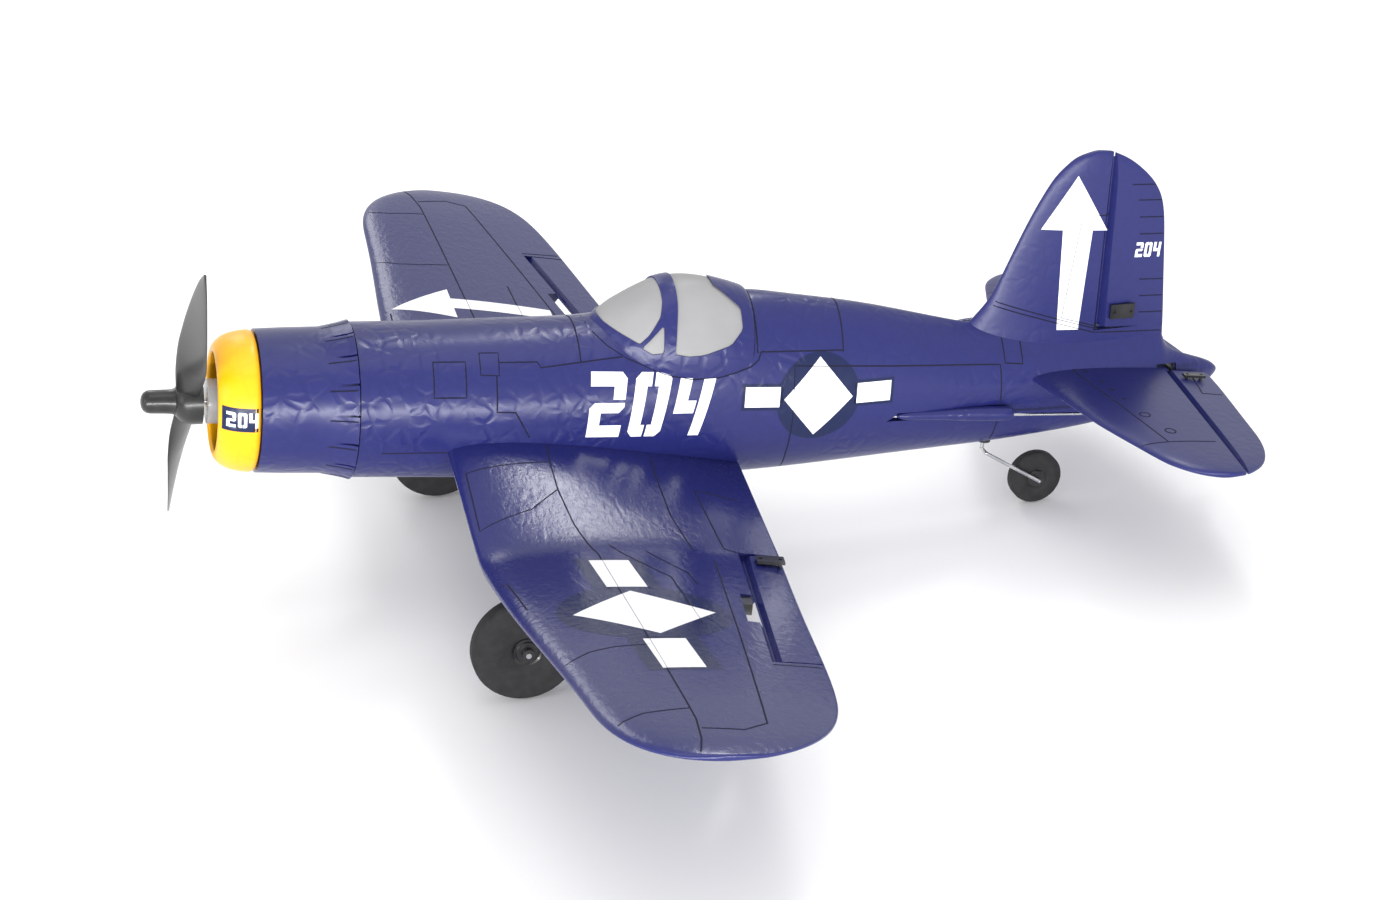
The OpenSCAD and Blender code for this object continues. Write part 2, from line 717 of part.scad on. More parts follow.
module rudder_arm() {
    color([0.92, 0.92, 0.9]) on_ground() rudder_servo_frame() servo_arm(tail_arm, 2.4);
}

module rudder_rod() {
    run = norm([1, rudder_rod_slope]) * (rudder_horn_x - rudder_servo_x);
    color(steel) on_ground() {
        for (along = [0, 1])
            translate([rudder_horn_x, tail_arm, rudder_horn_z] - along * (rudder_horn_x - rudder_servo_x) * [1, 0, rudder_rod_slope])
                rotate([0, -rudder_lean, 0]) {
                    translate([0, 0, -rod_side]) cylinder(r = rod_r, h = rod_side + 1.1, $fn = 24);
                    translate([0, 0, -rod_side]) sphere(r = rod_r * 1.08, $fn = 24);
                }
        translate([rudder_horn_x, tail_arm, rudder_horn_z]) rotate([0, -rudder_lean, 0]) translate([0,
            0, -rod_side])
            rotate([0, rudder_lean - atan(rudder_rod_slope) - 90, 0]) cylinder(r = rod_r, h = run,
                $fn = 24);
    }
}

// A slim blister over the point where a pushrod leaves the skin.
module fairing_shape() {
    hull() {
        translate([-18, 0.6, 0]) scale([1, 0.8, 1]) sphere(r = 1.2, $fn = 24);
        translate([-8, 0.3, 0]) scale([2, 0.9, 1]) sphere(r = 2.6, $fn = 24);
        translate([8, 0.6, 0]) sphere(r = 1.9, $fn = 24);
    }
}

module rod_fairings() {
    color(blue) on_ground() {
        difference() {
            translate([224, elevator_horn_y - rod_side, stab_z - tail_arm]) fairing_shape();
            body_skin([200, 212, 224, 236], -0.1, 32);
            translate([200, elevator_horn_y - rod_side - 1.3, stab_z - tail_arm - 1.2]) cube([40, 3, 2.8]);
        }
        difference() {
            rudder_rod_frame() translate([-44, 0, -rod_side]) mirror([0, 1, 0]) scale([0.8, 1,
                0.9]) fairing_shape();
            body_skin([200, 212, 224, 236], -0.1, 32);
            rudder_rod_frame() translate([-80, -1.7, -rod_side - 1.2]) cube([60, 2.9, 2.4]);
        }
    }
}

module servo_tray() {
    color([0.8, 0.7, 0.5]) on_ground() {
        difference() {
            union() {
                translate([74, -10.4, -2.2]) cube([79, 21, 1.1]);
                for (x = [77, 96]) translate([x, -18.2, -2.2]) cube([8, 36.4, 1.1]);
                translate([128, 0, -2.2]) cube([8, 16.4, 1.1]);
            }
            translate([88, -7, -3]) cube([14, 14, 3]);
        }
        translate([144, -5, -1.1]) cube([8, 10, 7.1]);
    }
}

module receiver_board() {
    color([0.1, 0.35, 0.2]) on_ground() {
        translate([75, -9, -1.1]) cube([30, 18, 1]);
        translate([84, -6, -0.1]) cube([9, 9, 1.4]);
        translate([96, -4, -0.1]) cube([6, 6, 1.2]);
        translate([75.5, -8, -0.1]) cube([5, 5, 4]);
    }
}

module battery() {
    color([0.2, 0.35, 0.6]) on_ground()
        translate([40, -8.5, -19]) cube([36, 17, 5.8]);
}

// ================================ power train ===================================================

module bulkhead() {
    color([0.85, 0.86, 0.84]) on_ground()
        difference() {
            rotate([0, 90, 0]) translate([0, 0, 5]) cylinder(r = 17.5, h = 2, $fn = 96);
            translate([4, 0, -gear_centre]) rotate([0, 90, 0]) cylinder(r = motor_r + 0.1, h = 4);
            translate([4, 0, 0]) rotate([0, 90, 0]) cylinder(r = 2.8, h = 4);
            for (a = [30, 150, 225, 315]) rotate([a, 0, 0]) translate([4, 13.5, 0])
                rotate([0, 90, 0]) cylinder(r = 0.7, h = 4, $fn = 24);
            for (a = [0, 90, 180]) rotate([a, 0, 0]) translate([4, 8.4, 0])
                rotate([0, 90, 0]) cylinder(r = 2.2, h = 4);
        }
}

module gearbox_frame() {
    color([0.8, 0.82, 0.82]) on_ground()
        difference() {
            rotate([0, 90, 0]) {
                translate([0, 0, -13.6]) cylinder(r = 6.5, h = 5.4);
                translate([0, 0, -9]) cylinder(r = 12.6, h = 1.4, $fn = 64);
                translate([0, 0, 3.4]) cylinder(r = 15.4, h = 1.6, $fn = 64);
                for (a = [35, 145, 205, 335])
                    rotate([0, 0, a]) translate([11.6, 0, -8]) cylinder(r = 1.2, h = 12, $fn = 32);
            }
            translate([-20, 0, 0]) rotate([0, 90, 0]) cylinder(r = 2.5, h = 30);
            translate([2, 0, -gear_centre]) rotate([0, 90, 0]) cylinder(r = 1, h = 5, $fn = 32);
            for (a = [30, 150, 225, 315]) rotate([a, 0, 0]) translate([2, 13.5, 0])
                rotate([0, 90, 0]) cylinder(r = 0.7, h = 4, $fn = 24);
        }
}

module gearbox_screws() {
    color(steel) on_ground()
        for (a = [30, 150, 225, 315]) rotate([a, 0, 0]) translate([0, 13.5, 0]) rotate([0, 90, 0]) {
            translate([0, 0, 2.6]) cylinder(r = 1.3, h = 0.8, $fn = 32);
            translate([0, 0, 3.4]) cylinder(r = 0.68, h = 5, $fn = 24);
        }
}

module shaft_bushes() {
    color([0.8, 0.6, 0.3]) on_ground() rotate([0, 90, 0])
        for (x = [-13.6, 2.4])
            translate([0, 0, x]) difference() {
                cylinder(r = 2.48, h = 2.6);
                translate([0, 0, -1]) cylinder(r = shaft_r + fit, h = 5);
            }
}

function gear_outline(teeth) =
    let (pitch_r = gear_module * teeth / 2, half = 90 / teeth)
    [for (i = [0:teeth - 1], k = [0:5])
        let (a = 360 * i / teeth + half * [-1.35, -0.86, -0.34, 0.34, 0.86, 1.35][k],
            r = pitch_r + gear_module * [-1.2, 0, 0.8, 0.8, 0, -1.2][k])
        [r * cos(a), r * sin(a)]];

module motor() {
    color(steel) on_ground() translate([5, 0, -gear_centre]) rotate([0, 90, 0]) {
        cylinder(r = motor_r, h = 20);
        translate([0, 0, 20]) cylinder(r = 1.6, h = 1);
    }
}

module pinion() {
    color([0.85, 0.7, 0.35]) on_ground() translate([-6.2, 0, -gear_centre]) rotate([0, 90, 0]) {
        rotate([0, 0, gear_phase]) linear_extrude(height = 5.4) polygon(gear_outline(pinion_teeth));
        cylinder(r = 0.5, h = 11.1, $fn = 24);
    }
}

module spur_gear() {
    color([0.93, 0.92, 0.88]) on_ground() translate([-5.6, 0, 0]) rotate([0, 90, 0])
        difference() {
            union() {
                linear_extrude(height = 3) polygon(gear_outline(spur_teeth));
                translate([0, 0, 3]) cylinder(r = 3.2, h = 3);
            }
            translate([0, 0, -1]) cylinder(r = shaft_r, h = 9, $fn = 48);
        }
}

module prop_shaft() {
    color(steel) on_ground() translate([-26, 0, 0]) rotate([0, 90, 0]) cylinder(r = shaft_r, h = 33.4);
}

// One blade section at radius r: chord set at the blade angle, x is fore and aft.
function blade_ring(r) =
    let (chord = lookup(r, [[4, 7], [12, 9.4], [24, 13], [36, 13.4], [50, 11.4], [59, 8.6], [63, 5.6],
        [65, 2]]),
        angle = atan(16.5 / max(r, 12)) , thick = lookup(r, [[4, 3], [14, 1.8], [40, 1.2], [65, 0.7]]))
    [for (i = [0:11])
        let (a = 30 * i, c = chord / 2 * cos(a), t = thick / 2 * sin(a))
        [-c * sin(angle) + t * cos(angle), c * cos(angle) + t * sin(angle), r]];

module propeller() {
    color(black) on_ground() translate([-19.4, 0, 0]) rotate([prop_turn, 0, 0])
        difference() {
            union() {
                for (turn = [0, 180]) rotate([turn, 0, 0])
                    loft([for (r = [4, 8, 14, 24, 36, 50, prop_d / 2 - 6, prop_d / 2 - 2,
                        prop_d / 2]) blade_ring(r)]);
                translate([-3, 0, 0]) rotate([0, 90, 0]) cylinder(r1 = 4.2, r2 = 6.6, h = 3);
                rotate([0, 90, 0]) cylinder(r = 6.6, h = 4.6);
            }
            translate([-5, 0, 0]) rotate([0, 90, 0]) cylinder(r = shaft_r, h = 12);
        }
}

module spinner() {
    color(black) on_ground() rotate([0, 90, 0]) rotate_extrude()
        polygon([[shaft_r, -22.4], [shaft_r, -26.2], [0, -26.2], [0, spinner_tip_x],
            for (a = [20:20:80]) [3.4 * sin(a), -29.6 - 2.5 * cos(a)],
            [3.4, -29.4], [3.5, -24], [3.9, -22.4]]);
}

// ================================ landing gear ==================================================

leg_inset = 4.6;

module gear_sockets() {
    color(black) on_ground() for (side = [0, 1]) mirror([0, side, 0])
        translate([main_axle_x, -half_track + leg_inset, -27.4])
            difference() {
                union() {
                    cylinder(r = 3.5, h = 6.4);
                    translate([0, 0, -0.1]) cylinder(r = 4.6, h = 0.9);
                }
                translate([0, 0, -1]) cylinder(r = axle_r, h = 6.4, $fn = 32);
            }
}

// A wire down from the socket and out through the wheel.
module leg_shape() {
    translate([main_axle_x, 0, 0]) {
        translate([0, -half_track + leg_inset, main_axle_z]) {
            cylinder(r = axle_r, h = -22.2 - main_axle_z, $fn = 32);
            sphere(r = axle_r, $fn = 32);
            rotate([90, 0, 0]) cylinder(r = axle_r, h = leg_inset + 5.4, $fn = 32);
        }
    }
}

module gear_leg_port() {
    color(steel) on_ground() leg_shape();
}

module gear_leg_starboard() {
    color(steel) on_ground() starboard() leg_shape();
}

module main_tyre_shape() {
    translate([main_axle_x, -half_track, main_axle_z]) rotate([90, 0, 0])
        rotate_extrude($fn = 96)
            polygon([[2.4, -main_wheel_w / 2 + 0.3], [2.4, main_wheel_w / 2 - 0.3],
                [4.6, main_wheel_w / 2 - 0.3],
                [5, main_wheel_w / 2], [main_wheel_r - 1.4, main_wheel_w / 2],
                    [main_wheel_r - 0.4, main_wheel_w / 2 - 0.5],
                [main_wheel_r, main_wheel_w / 2 - 1.5], [main_wheel_r, -main_wheel_w / 2 + 1.5],
                [main_wheel_r - 0.4, -main_wheel_w / 2 + 0.5], [main_wheel_r - 1.4, -main_wheel_w / 2],
                [5, -main_wheel_w / 2], [4.6, -main_wheel_w / 2 + 0.3]]);
}

module main_hub_shape() {
    translate([main_axle_x, -half_track, main_axle_z]) rotate([90, 0, 0])
        difference() {
            union() {
                cylinder(r = 2.4, h = main_wheel_w - 0.6, center = true);
                for (m = [0, 1]) mirror([0, 0, m]) translate([0, 0,
                    main_wheel_w / 2 - 0.3]) cylinder(r = 4.3, h = 0.6);
            }
            cylinder(r = axle_r + fit, h = 12, center = true, $fn = 32);
        }
}

module wheel_port() {
    color(black) on_ground() main_tyre_shape();
}

module wheel_hub_port() {
    color(black) on_ground() main_hub_shape();
}

module wheel_starboard() {
    color(black) on_ground() starboard() main_tyre_shape();
}

module wheel_hub_starboard() {
    color(black) on_ground() starboard() main_hub_shape();
}

module collar(bore) {
    difference() {
        cylinder(r = 1.7, h = 1.4, $fn = 32);
        translate([0, 0, -1]) cylinder(r = bore, h = 4, $fn = 32);
    }
}

module axle_collars() {
    color(black) on_ground() {
        for (side = [0, 1]) mirror([0, side, 0])
            translate([main_axle_x, -half_track - 3.6, main_axle_z]) rotate([90, 0, 0]) collar(axle_r);
        translate([tail_axle_x, 2.9, tail_axle_z]) rotate([-90, 0, 0]) collar(0.6);
    }
}

module tail_socket() {
    color(black) on_ground()
        translate([230, 0, -16.9]) difference() {
            cylinder(r = 2.4, h = 6.3);
            translate([0, 0, -1]) cylinder(r = 0.6, h = 8, $fn = 24);
        }
}

// Wire from the socket down, aft along the port side and through the wheel.
module tail_leg() {
    wire = 0.6;
    bend = wire * 1.08;                 // the wire swells a little where it is bent
    top = [230, 0, -19.6];
    knee = [230, -4.2, -19.6];
    foot = [tail_axle_x, -4.2, tail_axle_z];
    color(steel) on_ground() {
        translate(top) cylinder(r = wire, h = 7.2, $fn = 24);
        translate(top) rotate([90, 0, 0]) cylinder(r = wire, h = 4.2, $fn = 24);
        translate(knee) rotate([0, 90 + atan2(knee.z - foot.z, foot.x - knee.x), 0])
            cylinder(r = wire, h = norm(foot - knee), $fn = 24);
        translate(foot) rotate([-90, 0, 0]) cylinder(r = wire, h = 9, $fn = 24);
        for (corner = [top, knee, foot]) translate(corner) sphere(r = bend, $fn = 24);
    }
}

module tail_wheel() {
    color(black) on_ground() translate([tail_axle_x, 0, tail_axle_z]) rotate([90, 0, 0])
        rotate_extrude($fn = 64)
            polygon([[1.9, -2], [1.9, 2], [3.2, 2], [3.4, 2.2], [tail_wheel_r - 0.9, 2.2],
                [tail_wheel_r, 1.4],
                [tail_wheel_r, -1.4], [tail_wheel_r - 0.9, -2.2], [3.4, -2.2], [3.2, -2]]);
}

module tail_wheel_hub() {
    color(black) on_ground() translate([tail_axle_x, 0, tail_axle_z]) rotate([90, 0, 0])
        difference() {
            union() {
                cylinder(r = 1.9, h = 4, center = true);
                for (m = [0, 1]) mirror([0, 0, m]) translate([0, 0, 2]) cylinder(r = 3, h = 0.5);
            }
            cylinder(r = 0.6 + fit, h = 8, center = true, $fn = 24);
        }
}

fuselage();
cowl();
nose_ring();
canopy();
glazing();
battery_hatch();
hatch_magnets();
wing();
wing_spars();
fin();
stabilizer();
aileron_port();
aileron_starboard();
elevator_port();
elevator_starboard();
elevator_joiner();
rudder();
aileron_horn_port();
aileron_horn_starboard();
elevator_horn();
rudder_horn();
hinge_blocks();
aileron_servos();
aileron_arm_port();
aileron_arm_starboard();
aileron_rod_port();
aileron_rod_starboard();
elevator_servo();
elevator_arm();
elevator_rod();
rudder_servo();
rudder_arm();
rudder_rod();
rod_fairings();
servo_tray();
receiver_board();
battery();
bulkhead();
gearbox_frame();
gearbox_screws();
shaft_bushes();
motor();
pinion();
spur_gear();
prop_shaft();
propeller();
spinner();
gear_sockets();
gear_leg_port();
gear_leg_starboard();
wheel_port();
wheel_hub_port();
wheel_starboard();
wheel_hub_starboard();
axle_collars();
tail_socket();
tail_leg();
tail_wheel();
tail_wheel_hub();
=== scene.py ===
# Foam warbird: the finished surfaces, markings and materials around the fixed frame.
import math
from functools import partial

import bmesh
import bpy
from mathutils import Matrix, Vector
from mathutils.bvhtree import BVHTree


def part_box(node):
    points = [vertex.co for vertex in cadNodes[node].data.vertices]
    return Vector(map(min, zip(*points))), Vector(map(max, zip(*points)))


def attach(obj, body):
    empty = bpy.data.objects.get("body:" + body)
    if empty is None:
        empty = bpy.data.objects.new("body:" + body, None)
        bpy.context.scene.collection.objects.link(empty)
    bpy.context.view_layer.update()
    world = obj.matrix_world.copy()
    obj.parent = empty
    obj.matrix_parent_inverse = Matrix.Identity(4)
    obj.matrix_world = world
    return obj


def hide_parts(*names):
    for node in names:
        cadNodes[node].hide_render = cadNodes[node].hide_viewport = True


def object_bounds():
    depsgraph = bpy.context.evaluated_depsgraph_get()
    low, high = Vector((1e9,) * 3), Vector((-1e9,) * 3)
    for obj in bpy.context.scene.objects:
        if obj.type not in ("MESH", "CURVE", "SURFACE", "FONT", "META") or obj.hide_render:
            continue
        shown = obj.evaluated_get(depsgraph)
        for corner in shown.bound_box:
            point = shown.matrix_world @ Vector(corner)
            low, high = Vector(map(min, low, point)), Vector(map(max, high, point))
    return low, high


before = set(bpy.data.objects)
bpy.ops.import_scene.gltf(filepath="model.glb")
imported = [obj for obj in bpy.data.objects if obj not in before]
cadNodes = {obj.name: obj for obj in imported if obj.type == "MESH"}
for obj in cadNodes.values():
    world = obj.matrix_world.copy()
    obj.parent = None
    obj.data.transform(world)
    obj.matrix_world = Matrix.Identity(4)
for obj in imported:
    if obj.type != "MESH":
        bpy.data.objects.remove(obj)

scene = bpy.context.scene
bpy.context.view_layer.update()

# The aeroplane's own lines are drawn nose level, in mm: x aft of the nose ring's rear edge,
# y to starboard, z above the propeller shaft. It then stands on its wheels, nose up.
stance = {"pitch": 7.84, "hub": (69.3, -66.6, -47.7)}
hubLow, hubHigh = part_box("wheel_hub_port")
noseUp = Matrix.Rotation(math.radians(stance["pitch"]), 4, "Y") @ Matrix.Scale(0.001, 4)
standing = Matrix.Translation((hubLow + hubHigh) / 2 - noseUp @ Vector(stance["hub"])) @ noseUp

# The camera comes first.
view = {"place": (-0.1924, -0.6983, 0.3876), "turn": (64.019, 1.51, -15.847), "lens": 67.55}
camera = bpy.data.objects.new("camera", bpy.data.cameras.new("camera"))
camera.location = view["place"]
camera.rotation_euler = [math.radians(angle) for angle in view["turn"]]
camera.data.lens = view["lens"]
camera.data.sensor_width = 36
camera.data.clip_start = 0.01
scene.collection.objects.link(camera)
scene.camera = camera
print("camera is placed")


def lookUp(table, at):
    if at <= table[0][0]:
        return table[0][1]
    for (x0, v0), (x1, v1) in zip(table, table[1:]):
        if at <= x1:
            return v0 + (v1 - v0) * (at - x0) / (x1 - x0)
    return table[-1][1]


def addPiece(name, mesh):
    piece = bpy.data.objects.new(name, mesh)
    scene.collection.objects.link(piece)
    return piece


def makePiece(name, points, faces):
    mesh = bpy.data.meshes.new(name)
    mesh.from_pydata([tuple(p) for p in points], [], faces)
    work = bmesh.new()
    work.from_mesh(mesh)
    bmesh.ops.recalc_face_normals(work, faces=work.faces)
    work.to_mesh(mesh)
    work.free()
    return addPiece(name, mesh)


def applyStack(piece):
    depsgraph = bpy.context.evaluated_depsgraph_get()
    finished = bpy.data.meshes.new_from_object(piece.evaluated_get(depsgraph))
    piece.modifiers.clear()
    piece.data = finished
    return piece


def smoothOut(piece, levels=2):
    stack = piece.modifiers.new("smooth skin", "SUBSURF")
    stack.levels = stack.render_levels = levels
    return applyStack(piece)


def cutWith(piece, tool, how="DIFFERENCE"):
    stack = piece.modifiers.new("cut", "BOOLEAN")
    stack.object = tool
    stack.operation = how
    stack.solver = "EXACT"
    applyStack(piece)
    bpy.data.objects.remove(tool)
    return piece


def joinInto(piece, others):
    work = bmesh.new()
    work.from_mesh(piece.data)
    for other in others:
        work.from_mesh(other.data)
        bpy.data.objects.remove(other)
    work.to_mesh(piece.data)
    work.free()
    return piece


def treeOf(piece):
    return BVHTree.FromObject(piece, bpy.context.evaluated_depsgraph_get())


def copyOf(piece, name):
    return addPiece(name, piece.data.copy())


def loft(name, rings, creaseFirst=False):
    count = len(rings[0])
    points = [p for ring in rings for p in ring]
    faces = [(j * count + i, j * count + (i + 1) % count, (j + 1) * count + (i + 1) % count, (j + 1) * count + i)
             for j in range(len(rings) - 1) for i in range(count)]
    last = (len(rings) - 1) * count
    faces += [tuple(range(count)), tuple(range(last, last + count))]
    piece = makePiece(name, points, faces)
    if creaseFirst:
        crease = piece.data.attributes.new("crease_edge", "FLOAT", "EDGE")
        for edge in piece.data.edges:
            if max(edge.vertices) < count:
                crease.data[edge.index].value = 1.0
    return piece


# A block whose side outline (x, z) runs through y; local says where its own frame lies.
def makeBlock(outline, nearY, farY, local=Matrix.Identity(4)):
    count = len(outline)
    points = [local @ Vector((x, y, z)) for y in (nearY, farY) for x, z in outline]
    faces = [(i, (i + 1) % count, count + (i + 1) % count, count + i) for i in range(count)]
    faces += [tuple(range(count)), tuple(range(count, 2 * count))]
    return makePiece("cutter", points, faces)


def boxOutline(x0, x1, z0, z1):
    return [(x0, z0), (x1, z0), (x1, z1), (x0, z1)]


def turned(name, profile, steps, local):
    # the profile is (radius, height) from top to bottom, turned about its own z
    mesh = bpy.data.meshes.new(name)
    mesh.from_pydata([(r, 0, h) for r, h in profile], [(i, i + 1) for i in range(len(profile) - 1)], [])
    piece = addPiece(name, mesh)
    screw = piece.modifiers.new("turned", "SCREW")
    screw.steps = screw.render_steps = steps
    screw.use_merge_vertices = True
    screw.merge_threshold = 0.01
    screw.use_smooth_shade = True
    applyStack(piece)
    piece.data.transform(local)
    return piece


def finishPiece(piece, body, material, replaced=(), sharp=35):
    piece.data.transform(standing)
    piece.data.shade_smooth()
    if sharp:
        piece.data.set_sharp_from_angle(angle=math.radians(sharp))
    piece.data.materials.clear()
    piece.data.materials.append(material)
    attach(piece, body)
    if replaced:
        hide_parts(*replaced)
    return piece


# Moulded bead foam under gloss paint. beads is the size of one bead and creases the length of a
# wrinkle in metres; the depths are how far they stand in the surface.
def makeFoam(name, tint, deepTint, beads, beadDepth, creases, creaseDepth, roughness, gloss):
    material = bpy.data.materials.new(name)
    material.use_nodes = True
    tree = material.node_tree
    nodes, links = tree.nodes, tree.links
    nodes.clear()

    beadFrame = nodes.new("NodeFrame")
    beadFrame.label = "beads"
    creaseFrame = nodes.new("NodeFrame")
    creaseFrame.label = "creases"
    paintFrame = nodes.new("NodeFrame")
    paintFrame.label = "paint"

    where = nodes.new("ShaderNodeTexCoord")
    where.label = "place on the aeroplane"
    where.location = (-1500, 0)

    drift = nodes.new("ShaderNodeTexNoise")
    drift.label = "uneven bead edges"
    drift.location = (-1300, 300)
    drift.inputs["Scale"].default_value = 0.9 / beads
    drift.inputs["Detail"].default_value = 1
    links.new(where.outputs["Object"], drift.inputs["Vector"])

    shove = nodes.new("ShaderNodeVectorMath")
    shove.label = "how far edges wander"
    shove.operation = "MULTIPLY_ADD"
    shove.location = (-1100, 300)
    shove.inputs[1].default_value = (beads * 0.5,) * 3
    links.new(drift.outputs["Color"], shove.inputs[0])
    links.new(where.outputs["Object"], shove.inputs[2])

    bead = nodes.new("ShaderNodeTexVoronoi")
    bead.label = "beads pressed together"
    bead.feature = "DISTANCE_TO_EDGE"
    bead.location = (-900, 300)
    bead.inputs["Scale"].default_value = 1 / beads
    bead.inputs["Randomness"].default_value = 0.9
    links.new(shove.outputs["Vector"], bead.inputs["Vector"])

    dome = nodes.new("ShaderNodeMapRange")
    dome.label = "rounded bead"
    dome.interpolation_type = "SMOOTHERSTEP"
    dome.location = (-700, 300)
    dome.inputs["From Max"].default_value = 0.3
    links.new(bead.outputs["Distance"], dome.inputs["Value"])

    patches = nodes.new("ShaderNodeTexNoise")
    patches.label = "where beads show"
    patches.location = (-900, 60)
    patches.inputs["Scale"].default_value = 45
    patches.inputs["Detail"].default_value = 2
    links.new(where.outputs["Object"], patches.inputs["Vector"])

    showing = nodes.new("ShaderNodeMapRange")
    showing.label = "some areas pressed smooth"
    showing.location = (-700, 60)
    showing.inputs["From Min"].default_value = 0.38
    showing.inputs["From Max"].default_value = 0.58
    showing.inputs["To Min"].default_value = 0.15
    links.new(patches.outputs["Fac"], showing.inputs["Value"])

    beadHeight = nodes.new("ShaderNodeMath")
    beadHeight.label = "bead height"
    beadHeight.operation = "MULTIPLY"
    beadHeight.location = (-500, 200)
    links.new(dome.outputs["Result"], beadHeight.inputs[0])
    links.new(showing.outputs["Result"], beadHeight.inputs[1])

    stretch = nodes.new("ShaderNodeMapping")
    stretch.label = "creases run along the span"
    stretch.location = (-1300, -250)
    stretch.inputs["Scale"].default_value = (1 / creases, 0.45 / creases, 1 / creases)
    links.new(where.outputs["Object"], stretch.inputs["Vector"])

    crease = nodes.new("ShaderNodeTexNoise")
    crease.label = "fine creases"
    crease.location = (-1100, -250)
    crease.inputs["Scale"].default_value = 1
    crease.inputs["Detail"].default_value = 4
    crease.inputs["Roughness"].default_value = 0.55
    crease.inputs["Distortion"].default_value = 0.6
    links.new(stretch.outputs["Vector"], crease.inputs["Vector"])

    beadBump = nodes.new("ShaderNodeBump")
    beadBump.label = "beads in the skin"
    beadBump.location = (-300, 200)
    beadBump.inputs["Distance"].default_value = beadDepth
    links.new(beadHeight.outputs["Value"], beadBump.inputs["Height"])

    creaseBump = nodes.new("ShaderNodeBump")
    creaseBump.label = "creases in the skin"
    creaseBump.location = (-100, 0)
    creaseBump.inputs["Distance"].default_value = creaseDepth
    links.new(crease.outputs["Fac"], creaseBump.inputs["Height"])
    links.new(beadBump.outputs["Normal"], creaseBump.inputs["Normal"])

    # Painted shade: the colour darkens towards the shadow tint in the cracks between beads, where shade would fall.
    edgeDark = nodes.new("ShaderNodeMapRange")
    edgeDark.label = "painted shade between beads"
    edgeDark.location = (-500, 480)
    edgeDark.inputs["From Max"].default_value = 0.1
    edgeDark.inputs["To Min"].default_value = 0.16
    edgeDark.inputs["To Max"].default_value = 0
    links.new(bead.outputs["Distance"], edgeDark.inputs["Value"])

    cloud = nodes.new("ShaderNodeTexNoise")
    cloud.label = "uneven coat"
    cloud.location = (-500, 700)
    cloud.inputs["Scale"].default_value = 28
    cloud.inputs["Detail"].default_value = 5
    links.new(where.outputs["Object"], cloud.inputs["Vector"])

    coat = nodes.new("ShaderNodeMixRGB")
    coat.label = "paint, thick and thin"
    coat.location = (-300, 620)
    coat.inputs["Color1"].default_value = (*tint, 1)
    coat.inputs["Color2"].default_value = (*[t * 0.86 + d * 0.14 for t, d in zip(tint, deepTint)], 1)
    links.new(cloud.outputs["Fac"], coat.inputs["Fac"])

    colour = nodes.new("ShaderNodeMixRGB")
    colour.label = "darker between beads"
    colour.location = (-100, 560)
    colour.inputs["Color2"].default_value = (*deepTint, 1)
    links.new(edgeDark.outputs["Result"], colour.inputs["Fac"])
    links.new(coat.outputs["Color"], colour.inputs["Color1"])

    wear = nodes.new("ShaderNodeMapRange")
    wear.label = "gloss comes and goes"
    wear.location = (-300, 860)
    wear.inputs["To Min"].default_value = roughness - 0.06
    wear.inputs["To Max"].default_value = roughness + 0.08
    links.new(cloud.outputs["Fac"], wear.inputs["Value"])

    skin = nodes.new("ShaderNodeBsdfPrincipled")
    skin.label = "painted foam"
    skin.location = (150, 300)
    skin.inputs["Specular IOR Level"].default_value = 0.32
    skin.inputs["Coat Weight"].default_value = gloss
    skin.inputs["Coat Roughness"].default_value = 0.22
    links.new(colour.outputs["Color"], skin.inputs["Base Color"])
    links.new(wear.outputs["Result"], skin.inputs["Roughness"])
    links.new(creaseBump.outputs["Normal"], skin.inputs["Normal"])
    links.new(creaseBump.outputs["Normal"], skin.inputs["Coat Normal"])

    out = nodes.new("ShaderNodeOutputMaterial")
    out.label = "surface"
    out.location = (450, 300)
    links.new(skin.outputs["BSDF"], out.inputs["Surface"])
    for node in (drift, shove, bead, dome, patches, showing, beadHeight, beadBump):
        node.parent = beadFrame
    for node in (stretch, crease, creaseBump):
        node.parent = creaseFrame
    for node in (edgeDark, cloud, coat, colour, wear):
        node.parent = paintFrame
    return material


